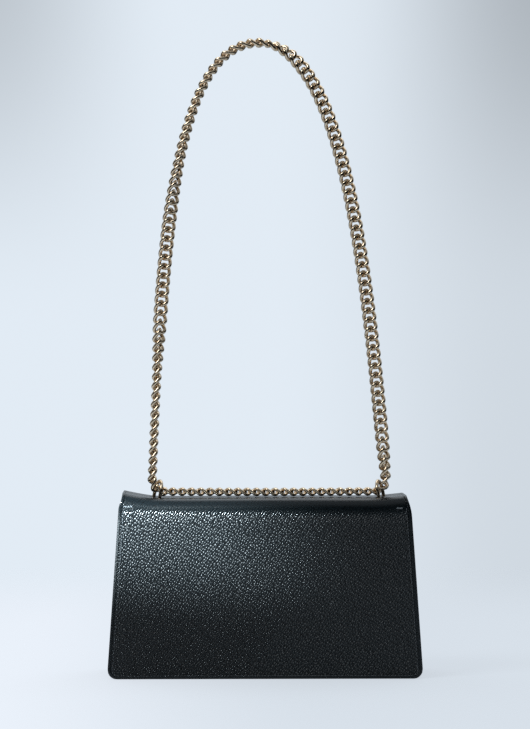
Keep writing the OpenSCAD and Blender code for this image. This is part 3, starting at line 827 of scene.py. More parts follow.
@dataclass(frozen=True)
class BodyForm:
    """Lines that all the walls of the body follow."""

    bottom_w: float = 284 * MM
    top_w: float = 262 * MM
    height: float = 166.5 * MM
    base_d: float = 88 * MM
    back_lean: float = 10 * MM
    front_lean: float = 18 * MM
    fold_r: float = 10 * MM
    corner_r: float = 9 * MM
    sag: float = 5 * MM
    flat_share: float = 0.76
    mouth: float = 150 * MM
    leather: float = 1.8 * MM
    proud: float = 4.8 * MM
    flap_end: float = 45 * MM
    flap_r: float = 22 * MM
    edge_in: float = 0.8 * MM
    stitch_in: float = 4.6 * MM
    stitch_foot: float = 3.0 * MM
    least_step: float = 0.0035
    swell: float = 0.9 * MM
    calm_z: tuple[float, float] = (138 * MM, 152 * MM)
    calm_rim: tuple[float, float] = (3.0, 26.0)
    # Depths between which the leather turns over the top
    over_top: tuple[float, float] = (-30 * MM, -22 * MM)
    # Left and right notch: its depth and the heights where it starts and ends, then the same of a slower taper
    notches: tuple[tuple[float, ...], ...] = ((1.5 * MM, 155.5 * MM, 157.5 * MM, 0.9 * MM, 157 * MM, 165 * MM),
                                              (0.9 * MM, 146 * MM, 156 * MM, 2.4 * MM, 152 * MM, 165 * MM))

    def half_w(self, z: Array | float) -> Array | float:
        """Half the body's width at a height."""
        return (self.bottom_w - (self.bottom_w - self.top_w) * z / self.height) / 2

    def back_y(self, z: Array | float) -> Array | float:
        """Depth of the back wall's outer face at a height."""
        return -self.base_d / 2 + self.back_lean * z / self.height

    def front_y(self, z: Array | float) -> Array | float:
        """Depth of the front wall's outer face at a height."""
        return self.base_d / 2 - self.front_lean * z / self.height

    def top_z(self, s: Array) -> Array:
        """Height of the top at shares of the half width, with one end raised more than the other."""
        rise = np.maximum(0, (np.abs(s) - self.flat_share) / (1 - self.flat_share)) ** 1.3
        return self.height - self.sag + self.sag * rise * np.where(s > 0, 0.5, 1.0)

    def axes(self, back: bool) -> Laid:
        """Gives the directions up a leaning wall and square into the bag from it.

        Args:
            back: Whether the wall is the back one.

        Returns:
            The two unit vectors.
        """
        lean = math.atan((self.back_lean if back else self.front_lean) / self.height)
        way = 1 if back else -1
        return (np.array([0, way * math.sin(lean), math.cos(lean)]),
                np.array([0, way * math.cos(lean), -math.sin(lean)]))

    def spot(self, back: bool, up: float) -> Array:
        """Gives the point in the middle of a wall's outer face at a distance up its slope."""
        return np.array([0, (-1 if back else 1) * self.base_d / 2, 0]) + self.axes(back)[0] * up

    def lay(self, line: Array, back: bool, depth: float, facing: int = 1) -> Laid:
        """Lays a line on a wall.

        Args:
            line: Places across and heights, one row each.
            back: Whether the wall is the back one.
            depth: Depth inside the wall's outer face.
            facing: 1 where the line faces into the bag, -1 where it faces out.

        Returns:
            The points, and the directions that they face.
        """
        x, z = line.T
        y = self.back_y(z) + depth if back else self.front_y(z) - depth
        return np.stack([x, y, z], 1), np.tile(facing * self.axes(back)[1], (len(x), 1))

    def lift(self, x: Array, half: float, r: float) -> Array:
        """Height by which a rounded lower corner lifts the edge.

        Args:
            x: Places across the width.
            half: Half the width at the lower edge.
            r: Radius of the corner.

        Returns:
            The lift at each place.
        """
        over = np.clip(np.abs(x) - (half - r), 0, r)
        return r - np.sqrt(r * r - over * over)

    def stations(self, *radii: float) -> Array:
        """Shares of the half width at which the walls are drawn, close together at the corners.

        Args:
            *radii: Radii of the rounded corners that are drawn.

        Returns:
            The shares from -1 to 1.
        """
        shares = list(np.linspace(-1, 1, 56))
        turn = np.radians(np.linspace(0, 90, 9))
        ends = [1 - r * (1 - math.sin(a)) / (self.bottom_w / 2) for r in radii for a in turn]
        for s in ends + list(np.linspace(0.962, 0.998, 5)):
            shares += [s, -s]
        shares = sorted(shares)
        kept = [shares[0]]
        for s in shares[1:]:
            if s - kept[-1] > self.least_step:
                kept.append(s)
        kept[-1] = 1.0
        return np.array(kept)

    def rim(self, x: Array, z: Array, half: Array, low: float, r: float) -> Array:
        """Distance in millimetres from a wall's edge, round its lower corners.

        Args:
            x: Places across.
            z: Heights.
            half: Half width at those heights.
            low: Height of the lower edge.
            r: Radius of the lower corners.

        Returns:
            The distances.
        """
        dx, dz = half - np.abs(x), z - low
        corner = r - np.hypot(np.maximum(r - dx, 0), np.maximum(r - dz, 0))
        return np.where((dx < r) & (dz < r), corner, np.minimum(dx, dz)) / MM

    def neck(self, s: Array, y: Array, z: Array) -> Array:
        """How much narrower than the body the leather is, which draws in where it leaves the side seams.

        Args:
            s: Shares of the half width.
            y: Depths.
            z: Heights.

        Returns:
            The narrowing of each half.
        """
        over = ease(y, *self.over_top)
        left, right = (depth * np.maximum(ease(z, start, end), over) + taper * ease(z, low, high)
                       for depth, start, end, taper, low, high in self.notches)
        return np.where(s < 0, left, right)

    def soft(self, x: Array, z: Array, rim: Array) -> Array:
        """Outward swell of a leather wall between its seams, with slight unevenness.

        Args:
            x: Places across.
            z: Heights.
            rim: Distances in millimetres from the edge.

        Returns:
            The swell, which is nothing near the edge and towards the top fold.
        """
        inset = np.clip(np.minimum(self.half_w(z) - np.abs(x), np.abs(z)) / (30 * MM), 0, 1)
        swell = self.swell * np.sin(np.clip(z / self.height, 0, 1) * math.pi)
        waves = (0.28 * MM * np.sin(31 * x + 14 * z + 0.7) * np.sin(37 * z + 9 * x)
                 + 0.12 * MM * np.sin(83 * x - 41 * z + 2.1))
        whole = (swell * np.cos(np.clip(x / (2 * self.half_w(z)), -0.5, 0.5) * math.pi * 0.9) + waves) * inset
        return whole * (1 - ease(z, *self.calm_z)) * ease(rim, *self.calm_rim)

    def u_line(self, inset: float, foot: float, top: float, low: float, r: float, half_in: float = 0.0) -> Array:
        """Line inside a wall's edge: down its left side, along its lower edge and up its right side.

        Args:
            inset: Distance from the two side edges.
            foot: Distance from the lower edge.
            top: Height at which the line starts and ends.
            low: Height of the wall's lower edge.
            r: Radius of its lower corners.
            half_in: How much narrower the wall is than the body.

        Returns:
            Places across and heights, one row each.
        """
        side = [(self.half_w(z) - half_in - inset, z) for z in np.linspace(top, low + r, 40)]
        centre = self.half_w(low) - half_in - r
        turn = [(centre + (r - inset) * math.cos(a), low + r - (r - foot) * math.sin(a))
                for a in np.linspace(0, math.pi / 2, 14)]
        right = np.array(side + turn)
        return np.concatenate([right * (-1, 1), right[::-1]])


FORM = BodyForm()


# ---------------------------------------------------------------------------------------------- the leather body


@dataclass
class BackAndFlap:
    """One piece of pebbled leather: the back wall, the top and the flap that covers the front."""

    form: BodyForm = FORM
    wall_rows: int = 44
    fold_rows: int = 10
    top_rows: int = 14
    front_rows: int = 34
    fold_grain: float = 0.07
    top_grain: float = 0.45
    flap_swell: float = 0.45
    ring_shift: float = 4 * MM
    ring_x: float = 103 * MM
    ring_y: float = -13.5 * MM
    ring_z: float = 156.7 * MM
    ring_toe: float = 18.0
    leg_y: float = 9 * MM
    slot_x: tuple[float, float] = (-2.4, 4.6)
    slot_y: float = 2.35
    slot_z: tuple[float, float] = (1.2, 14)
    # Bar tacks: start, end and height of each, and the two rows of thread in it
    tacks: tuple[tuple[float, ...], ...] = ((-127.6, -119.2, 154.2), (118.4, 124.0, 152.6))
    tack_rows: tuple[float, float] = (-0.35, 0.35)

    def grain(self, s: Array, z: Array) -> Array:
        """Share of the pebble that shows on the walls, which fades out towards the fold."""
        return 1.0 - (1.0 - self.fold_grain) * ease(z - 1.5 * MM * np.abs(s) ** 4, 134 * MM, 153 * MM)

    def surface(self, s: Array, depth: float, swell: bool = True) -> tuple[Array, dict[str, Array]]:
        """Draws one face of the leather.

        Args:
            s: Shares of the half width.
            depth: Depth of the face under the outer one.
            swell: Whether the walls swell.

        Returns:
            The grid of points, and the values stored with them.
        """
        f = self.form
        half = f.bottom_w / 2
        flap_half = f.half_w(f.flap_end) - f.edge_in
        top = f.top_z(s) + 0.25 * MM * np.sin(21 * s * half + 0.6) * (1 - s ** 6)
        zc, r = top - f.fold_r, f.fold_r - depth
        yb = f.back_y(zc) + f.fold_r
        yf = f.front_y(zc) + f.proud - f.fold_r
        u, v, w = (np.linspace(0, 1, n)[:, None] for n in (self.wall_rows, self.top_rows + 2, self.front_rows))
        a = np.radians(np.linspace(0, 90, self.fold_rows + 2)[1:, None])
        z0 = f.lift(s * half, half, f.corner_r)
        z1 = f.flap_end + f.lift(s * flap_half, flap_half, f.flap_r)
        back, front = z0 + (zc - z0) * u, zc + (z1 - zc) * w[1:]
        parts = ((f.back_y(back) + depth, back, self.grain(s, back), 0.0),
                 (yb - r * np.cos(a), zc + r * np.sin(a), self.fold_grain, 0.0),
                 (yb + (yf - yb) * v[1:], top - depth + 0 * v[1:], self.top_grain, -1.0),
                 (yf + r * np.sin(a), zc + r * np.cos(a), self.fold_grain, f.flap_end),
                 (f.front_y(front) + f.proud - depth, front, self.grain(s, front), f.flap_end))
        y, z, grain, low = (np.concatenate([np.broadcast_to(part[k], part[1].shape) for part in parts])
                            for k in range(4))
        half = f.half_w(z) - f.neck(s, y, z)
        x = s * half
        rim = np.where(low < 0, (half - np.abs(x)) / MM,
                       np.where(low > 0, f.rim(x, z, half, f.flap_end, f.flap_r), f.rim(x, z, half, 0.0, f.corner_r)))
        if swell:
            y = y + np.where(low > 0, self.flap_swell, -1.0) * f.soft(x, z, rim)
        return np.stack([x, y, z], 2), {"rim": np.maximum(rim, 0), "grain": grain}

    def slots(self) -> Object:
        """Makes the cutter for the four slots through which the rings' legs pass."""
        toe, boxes = math.radians(self.ring_toe), []
        (x0, x1), half = self.slot_x, self.slot_y
        for side in (-1, 1):
            origin = np.array([self.ring_shift + side * self.ring_x, self.ring_y, self.ring_z])
            inward = np.array([math.cos(toe), math.sin(toe), 0]) * (-side, 1, 1)
            along = np.array([-math.sin(toe), math.cos(toe), 0]) * (-side, 1, 1)
            for y in (-self.leg_y, self.leg_y):
                boxes.append(np.array([origin + inward * dx * MM + along * (y + dy * MM) + (0, 0, dz * MM)
                                       for dz in self.slot_z
                                       for dx, dy in ((x0, -half), (x1, -half), (x1, half), (x0, half))]))
        return recalc(copies("slot_cutter", boxes, stack(2, 4), False))

    def build(self) -> None:
        """Builds the leather in one piece and cuts its slots; it is not bent over the hinge line and hangs on no body.
        """
        s = self.form.stations(self.form.corner_r, self.form.flap_r)
        outer, marks = self.surface(s, 0.0)
        inner, _ = self.surface(s, self.form.leather)
        obj = sheet_object("back_and_flap_leather", outer, inner, marks, True)
        carve(obj, self.slots())
        z = self.form.height - self.form.sag
        dress(obj, FINISHES.leather, Body.BAG, "back_panel", "flap_panel", edge=FINISHES.paint,
              bend=(Body.FLAP, (0, -5 * MM, z), (0, 7 * MM, z)))

    def on_back(self, line: Array) -> Laid:
        """Lays a line of places and heights on the swollen outer face of the back wall."""
        f = self.form
        points, out = f.lay(line, True, 0.0, -1)
        x, z = line.T
        points[:, 1] -= f.soft(x, z, f.rim(x, z, f.half_w(z), 0.0, f.corner_r))
        return points, out

    def sew(self) -> None:
        """Sews the back wall and the flap along their edges, and the bar tacks at the top corners."""
        f, seam = self.form, Seam()
        line = f.u_line(f.stitch_in, f.stitch_foot, 153 * MM, 0.0, f.corner_r)
        dress(seam.sew("back_seam", [self.on_back(line)]), FINISHES.thread, Body.BAG)
        line = f.u_line(f.stitch_in, f.stitch_in, 148 * MM, f.flap_end, f.flap_r, 2.4 * MM)
        dress(seam.sew("flap_seam", [f.lay(line, False, -f.proud, -1)]), FINISHES.thread, Body.FLAP)
        tacks = [self.on_back(np.array([(x, z + row) for x in np.linspace(x0, x1, 12)]) * MM)
                 for x0, x1, z in self.tacks for row in self.tack_rows]
        tack = Seam(pitch=1.3 * MM, share=0.9, radius=0.36 * MM, slant=24)
        dress(tack.sew("bar_tacks", tacks), FINISHES.light_tack_thread, Body.BAG)


@dataclass
class Walls:
    """Front wall, base strip and gussets."""

    form: BodyForm = FORM
    thin: float = 1.4 * MM
    cloth: float = 0.8 * MM
    board_d: float = 2.0 * MM
    seam_w: float = 9 * MM
    base_end: float = 14 * MM
    pleat_base: float = 5 * MM
    pleat_mouth: float = 20 * MM
    pleat_cut: float = 4.5 * MM
    base_seam_z: float = 11.6 * MM
    base_seam_in: float = 4 * MM
    snap_z: float = 64 * MM
    snap_r: float = 7.25 * MM

    def front_face(self, depth: float, s: Array) -> Array:
        """Draws a face of the front wall at a depth behind its outer face."""
        f = self.form
        z0 = f.lift(s * f.bottom_w / 2, f.bottom_w / 2, f.corner_r)
        z = z0 + (f.mouth - z0) * np.linspace(0, 1, 44)[:, None]
        return np.stack([s * f.half_w(z), f.front_y(z) - depth, z], 2)

    def snap_cutter(self, radius: float) -> Object:
        """Makes a round cutter on the snap's axis."""
        up, inward = self.form.axes(False)
        ring = [self.form.spot(False, self.snap_z) + radius * (math.cos(a) * np.array([1.0, 0, 0]) + math.sin(a) * up)
                for a in np.linspace(0, 2 * math.pi, 41)[:-1]]
        return prism("snap_cutter", np.array(ring), inward * 3 * MM, -inward * 9 * MM)

    def build_front(self) -> None:
        """Builds the front wall, cuts the hole for its snap and sews its edge."""
        f = self.form
        s = f.stations(f.corner_r)
        outer = self.front_face(0.0, s)
        rim = f.rim(outer[..., 0], outer[..., 2], f.half_w(outer[..., 2]), 0.0, f.corner_r)
        obj = sheet_object("front_leather", outer, self.front_face(f.leather, s),
                           {"rim": rim, "grain": np.ones_like(rim)}, True)
        carve(obj, self.snap_cutter(self.snap_r))
        dress(obj, FINISHES.leather, Body.BAG, "front_panel", edge=FINISHES.paint)
        line = f.u_line(f.stitch_in, f.stitch_foot, 147 * MM, 0.0, f.corner_r)
        dress(Seam().sew("front_seam", [f.lay(line, False, 0.0, -1)]), FINISHES.thread, Body.BAG)

    def plan(self, z: float, depth: float) -> Array:
        """Plan line of the right-hand gusset at a height.

        Args:
            z: The height.
            depth: Depth behind the gusset's outer face.

        Returns:
            Rounded line from the front flange over the pleat to the back flange.
        """
        f = self.form
        x = f.half_w(z) - f.edge_in
        yb, yf = f.back_y(z) + self.board_d, f.front_y(z) - self.board_d
        mid = (yb + yf) / 2
        share = (z - self.base_end) / (f.mouth - self.base_end)
        pleat = self.pleat_base + (self.pleat_mouth - self.pleat_base) * share
        aside = depth / math.cos(math.atan(pleat / (mid - yb)))
        points = [(x - self.seam_w, yf - depth), (x - depth, yf - depth), (x - pleat - aside, mid),
                  (x - depth, yb + depth), (x - self.seam_w, yb + depth)]
        line = fillet(points, self.pleat_cut - depth * 0.5, 7)
        return np.concatenate([line, np.full((len(line), 1), z)], 1)

    def build_gussets(self) -> None:
        """Builds both gussets and their linings."""
        levels = np.linspace(self.base_end + 0.2 * MM, self.form.mouth, 26)
        for side, word in ((1, "right"), (-1, "left")):
            for name, low, t, finish, node in (
                    ("gusset_leather_", 0.0, self.thin, FINISHES.smooth, "gusset_"),
                    ("gusset_cloth_", self.thin + 0.2 * MM, self.cloth, FINISHES.lining, "gusset_lining_")):
                outer, inner = (np.array([self.plan(z, d) for z in levels]) * (side, 1, 1) for d in (low, low + t))
                dress(sheet_object(name + word, outer, inner), finish, Body.BAG, node + word)

    def strip(self, depth: float) -> Array:
        """Draws one face of the base strip, from one turned-up end to the other.

        Args:
            depth: Depth above its outer face.

        Returns:
            The grid of points.
        """
        f = self.form
        r, half = f.corner_r - f.edge_in, f.bottom_w / 2 - f.edge_in
        q = r - depth
        line = [(f.half_w(z) - f.edge_in - depth, z) for z in np.linspace(self.base_end, r, 5)]
        line += [(half - r + q * math.cos(a), r - q * math.sin(a)) for a in np.linspace(0, math.pi / 2, 9)[1:]]
        right = np.array(line + [(x, depth) for x in np.linspace(half - r, 0, 26)[1:]])
        x, z = np.concatenate([right, (right * (-1, 1))[::-1][1:]]).T
        across = np.linspace(f.back_y(z) + self.board_d, f.front_y(z) - self.board_d, 22, axis=1)
        return np.stack([x[:, None] + 0 * across, across, z[:, None] + 0 * across], 2)

    def build_base(self) -> None:
        """Builds the base strip, whose ends turn up round the corners, and sews it across its ends."""
        f, z, lines = self.form, self.base_seam_z, []
        dress(sheet_object("base_leather", self.strip(0.0), self.strip(self.thin)), FINISHES.smooth, Body.BAG,
              "base_panel")
        for side in (-1, 1):
            ys = np.linspace(f.back_y(z) + self.base_seam_in, f.front_y(z) - self.base_seam_in, 20)
            lines.append((np.array([(side * (f.half_w(z) - f.edge_in), y, z) for y in ys]),
                          np.tile((side, 0, 0.0), (20, 1))))
        dress(Seam().sew("base_seams", lines), FINISHES.thread, Body.BAG)

    def build(self) -> None:
        """Builds all of the walls."""
        self.build_front()
        self.build_gussets()
        self.build_base()


@dataclass
class FlapInside:
    """Smooth leather on the inner face of the flap."""

    skin: BackAndFlap
    low: float = 3.4 * MM
    thick: float = 0.8 * MM
    snap_r: float = 7.0 * MM

    def build(self, walls: Walls) -> None:
        """Builds the flap's inner leather with the hole for the snap.

        Args:
            walls: The walls, for the snap's cutter.
        """
        s = self.skin.form.stations(self.skin.form.flap_r)
        outer, inner = (self.skin.surface(s, depth, False)[0] for depth in (self.low, self.low + self.thick))
        start = self.skin.wall_rows + self.skin.fold_rows + 1
        first = start + int(np.argmax(outer[start:, len(s) // 2, 1] > 0.4 * MM))
        obj = sheet_object("flap_inside_leather", outer[first:], inner[first:])
        carve(obj, walls.snap_cutter(self.snap_r))
        dress(obj, FINISHES.smooth, Body.FLAP, "flap_lining")


@dataclass
class Inside:
    """Cloth linings, leather facings, the slip pocket and the zipped pocket."""

    form: BodyForm = FORM
    back_d: float = 5.7 * MM
    front_d: float = 3.6 * MM
    cloth: float = 0.8 * MM
    thin: float = 1.4 * MM
    inset: float = 10.5 * MM
    seam_z: float = 120 * MM
    zip_z: float = 94 * MM
    zip_l: float = 170 * MM
    zip_half: float = 93 * MM
    tooth_pitch: float = 2.5 * MM
    window: float = 9 * MM
    thread_up: float = 0.05 * MM
    facing_top: float = 153.9 * MM
    slip_low: float = 30 * MM
    slip_high: float = 108 * MM
    slip_half: float = 60 * MM
    tape_d: float = 5.0 * MM
    tape_t: float = 0.5 * MM
    tape_mid: float = 7.1 * MM
    tape_half: float = 5.5 * MM
    lean_cos: float = 0.9982
    # One tooth: its outline, then the depth and the size of each layer
    tooth: tuple[tuple[float, float], ...] = ((-0.55, 0.5), (0.55, 0.5), (0.75, 1.0), (0.62, 2.6), (-0.62, 2.6),
                                              (-0.75, 1.0))
    tooth_layers: tuple[tuple[float, float], ...] = ((5.5, 0.8), (5.75, 1), (6.95, 1), (7.2, 0.8))
    tooth_mid: float = 1.55
    # The puller's tab: distances below the zip's axis and the half widths there
    tab_down: tuple[float, ...] = (-35.2, -34.0, -30.0, -11.0, -9.0, -8.3)
    tab_half: tuple[float, ...] = (1.9, 2.7, 3.2, 3.2, 2.0, 1.7)

    def wall(self, name: str, back: bool, depth: float, thick: float, low: float, high: float, half: float | None,
             rows: int, columns: int, pucker: float = 0.0) -> Object:
        """Builds a flat ply on one of the two inner walls.

        Args:
            name: Name of the object.
            back: Whether it lies on the back wall.
            depth: Depth of its outer face inside the wall's outer face.
            thick: Its thickness.
            low: Height of its lower edge.
            high: Height of its upper edge.
            half: Half its width, or None to follow the body's sides.
            rows: Number of rows.
            columns: Number of columns.
            pucker: Height of its soft unevenness.

        Returns:
            The object.
        """
        f = self.form
        s = np.linspace(-1, 1, columns)
        z = np.linspace(low, high, rows)[:, None] * np.ones_like(s)
        x = s * ((f.half_w(z) - self.inset) if half is None else half + 0 * z)
        waves = pucker * np.sin(90 * x + 30 * z) * np.sin(70 * z + 1) * np.sin(np.linspace(0, math.pi, columns))
        slope = abs(f.axes(back)[1][1])
        faces = []
        for d in (depth, depth + thick):
            out = d / slope + waves
            faces.append(np.stack([x, (f.back_y(z) + out) if back else (f.front_y(z) - out), z], 2))
        return sheet_object(name, *faces)

    def build_linings(self) -> None:
        """Builds the cloth on the back, front and base, and cuts the zip's window."""
        f, high_z = self.form, self.seam_z - 0.2 * MM
        back = self.wall("back_cloth", True, self.back_d, self.cloth, 4.4 * MM, high_z, None, 40, 70, 0.12 * MM)
        half, high = self.zip_l / 2 + self.window / 2, self.window / 2
        corner = [(half - MM + MM * math.cos(a), high - MM + MM * math.sin(a)) for a in np.linspace(0, math.pi / 2, 5)]
        right = [(x, -z) for x, z in corner[::-1]] + corner
        outline = [f.spot(True, self.zip_z + z) + (x, 0, 0) for x, z in right + [(-x, z) for x, z in right[::-1]]]
        carve(back, prism("window_cutter", np.array(outline), np.array([0, 4 * MM, 0]), np.array([0, 9 * MM, 0])))
        dress(back, FINISHES.lining, Body.BAG, "back_lining")
        front = self.wall("front_cloth", False, self.front_d, self.cloth, 4.5 * MM, high_z, None, 30, 50, 0.1 * MM)
        dress(front, FINISHES.lining, Body.BAG, "front_lining")
        x, y = np.meshgrid(np.linspace(-1, 1, 60) * (f.bottom_w / 2 - 10 * MM), np.linspace(-39.9, 39.9, 24) * MM)
        low, high = (np.stack([x, y, np.full_like(x, z * MM)], 2) for z in (3.05, 3.8))
        dress(sheet_object("base_cloth", high, low), FINISHES.lining, Body.BAG, "base_lining")

    def build_facings(self) -> None:
        """Builds the leather facings at the mouth and under the top."""
        f = self.form
        front = self.wall("front_facing_leather", False, self.front_d, self.thin, self.seam_z, f.mouth, None, 12, 60)
        dress(front, FINISHES.smooth, Body.BAG, "front_facing")
        top, bend, faces = self.facing_top, f.fold_r - f.leather, []
        zc = top - bend
        yb = f.back_y(zc) + self.back_d + bend
        for extra in (0.0, self.thin):
            r = bend - extra
            rows = [(f.back_y(z) + self.back_d + extra, z) for z in np.linspace(self.seam_z, zc, 10)]
            rows += [(yb - r * math.cos(a), zc + r * math.sin(a)) for a in np.radians(np.linspace(0, 90, 8))[1:]]
            rows += [(y, top - extra) for y in np.linspace(yb, -0.2 * MM, 8)[1:]]
            faces.append(np.array([[(k * f.half_w(z), y, z) for k in np.linspace(-0.9, 0.9, 60)] for y, z in rows]))
        dress(sheet_object("top_facing_leather", *faces), FINISHES.smooth, Body.BAG, "top_facing")

    def build_slip_pocket(self) -> None:
        """Builds and sews the open pocket on the front lining."""
        depth = self.front_d + self.cloth + 0.5 * MM
        pocket = self.wall("slip_pocket_leather", False, depth, self.thin, self.slip_low, self.slip_high,
                           self.slip_half, 24, 36)
        dress(pocket, FINISHES.smooth, Body.BAG, "slip_pocket")
        line = resample(np.array([(-57.5, 106), (-57.5, 32.5), (57.5, 32.5), (57.5, 106)]) * MM, MM)
        laid = self.form.lay(line, False, depth + self.thin + self.thread_up)
        dress(Seam().sew("slip_pocket_seam", [laid]), FINISHES.thread, Body.BAG)

    def build_seams(self) -> None:
        """Sews the facings to the linings and the zip into its window."""
        f, z, lines = self.form, self.seam_z + 2.2 * MM, []
        half = f.half_w(z) - self.inset - 3 * MM
        for back, depth in ((True, self.back_d), (False, self.front_d)):
            line = np.array([(x, z) for x in np.linspace(-half, half, 60)])
            lines.append(f.lay(line, back, depth + self.thin + self.thread_up))
        dress(Seam().sew("facing_seams", lines), FINISHES.thread, Body.BAG)
        half, high = self.zip_l / 2 + self.window / 2 + 2 * MM, self.window / 2 + 2 * MM
        z = self.zip_z * math.cos(0.06)
        box = [(-half, z - high), (half, z - high), (half, z + high), (-half, z + high), (-half, z - high + MM)]
        laid = f.lay(resample(np.array(box), MM), True, self.back_d + self.cloth + self.thread_up)
        dress(Seam(pitch=2.2 * MM).sew("window_seam", [laid]), FINISHES.pale_thread, Body.BAG)

    def build_zip(self) -> None:
        """Builds the tapes and single teeth of the zip, and the thin cloth pouch behind the lining."""
        for word, middle, nodes in (("upper", self.tape_mid, ("zip_tape",)), ("lower", -self.tape_mid, ())):
            low, high = ((self.zip_z + middle + d) * self.lean_cos for d in (-self.tape_half, self.tape_half))
            tape = self.wall("zip_tape_" + word, True, self.tape_d, self.tape_t, low, high, self.zip_half, 8, 90)
            dress(tape, FINISHES.tape, Body.BAG, *nodes)
        up, inward = self.form.axes(True)
        origin = self.form.spot(True, self.zip_z)
        mid = self.tooth_mid
        tooth = np.array([(u * grow, v if grow == 1 else mid + (v - mid) * 0.85, d)
                          for d, grow in self.tooth_layers for u, v in self.tooth]) * MM
        places = -self.zip_l / 2 + (np.arange(int(self.zip_l / self.tooth_pitch)) + 0.5) * self.tooth_pitch
        rows = [origin + (x, 0, 0) + tooth @ np.array([(1, 0, 0), up * side, inward])
                for side in (-1, 1) for x in places]
        teeth = recalc(copies("zip_tooth_rows", rows, stack(len(self.tooth_layers), len(self.tooth)), False))
        dress(teeth, FINISHES.gold, Body.BAG, "zip_teeth")
        pouch = self.wall("zip_pouch_cloth", True, 3.4 * MM, 1.3 * MM, 32 * MM, 86 * MM, self.zip_half, 14, 30)
        dress(pouch, FINISHES.lining, Body.BAG, "zip_pouch")

    def build_tab(self) -> None:
        """Rounds and dresses the leather tab of the zip's puller."""
        low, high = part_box("puller_tab")
        up, inward = self.form.axes(True)
        origin = self.form.spot(True, self.zip_z) + inward * 10 * MM + ((low[0] + high[0]) / 2, 0, 0)
        foot, head = self.tab_down[0], self.tab_down[-1]
        v = np.linspace(head, foot, 26)
        half = np.interp(v, self.tab_down, self.tab_half)
        faces = []
        for d in (1.45, -1.45):
            thick = np.interp(v, [foot, -12, head], [d * 0.82, d * 0.82, d])
            faces.append(np.array([[origin + np.array([k * h, 0, 0]) * MM + up * z * MM + inward * t * MM
                                    for k in np.linspace(-1, 1, 9)] for z, h, t in zip(v, half, thick)]))
        tab = sheet_object("puller_tab_leather", *faces, None, True)
        dress(tab, FINISHES.smooth, Body.PULLER, "puller_tab", edge=FINISHES.paint)

    def build(self) -> None:
        """Builds everything inside the bag."""
        self.build_linings()
        self.build_facings()
        self.build_slip_pocket()
        self.build_zip()
        self.build_seams()
        self.build_tab()


# ---------------------------------------------------------------------------------------------- chain


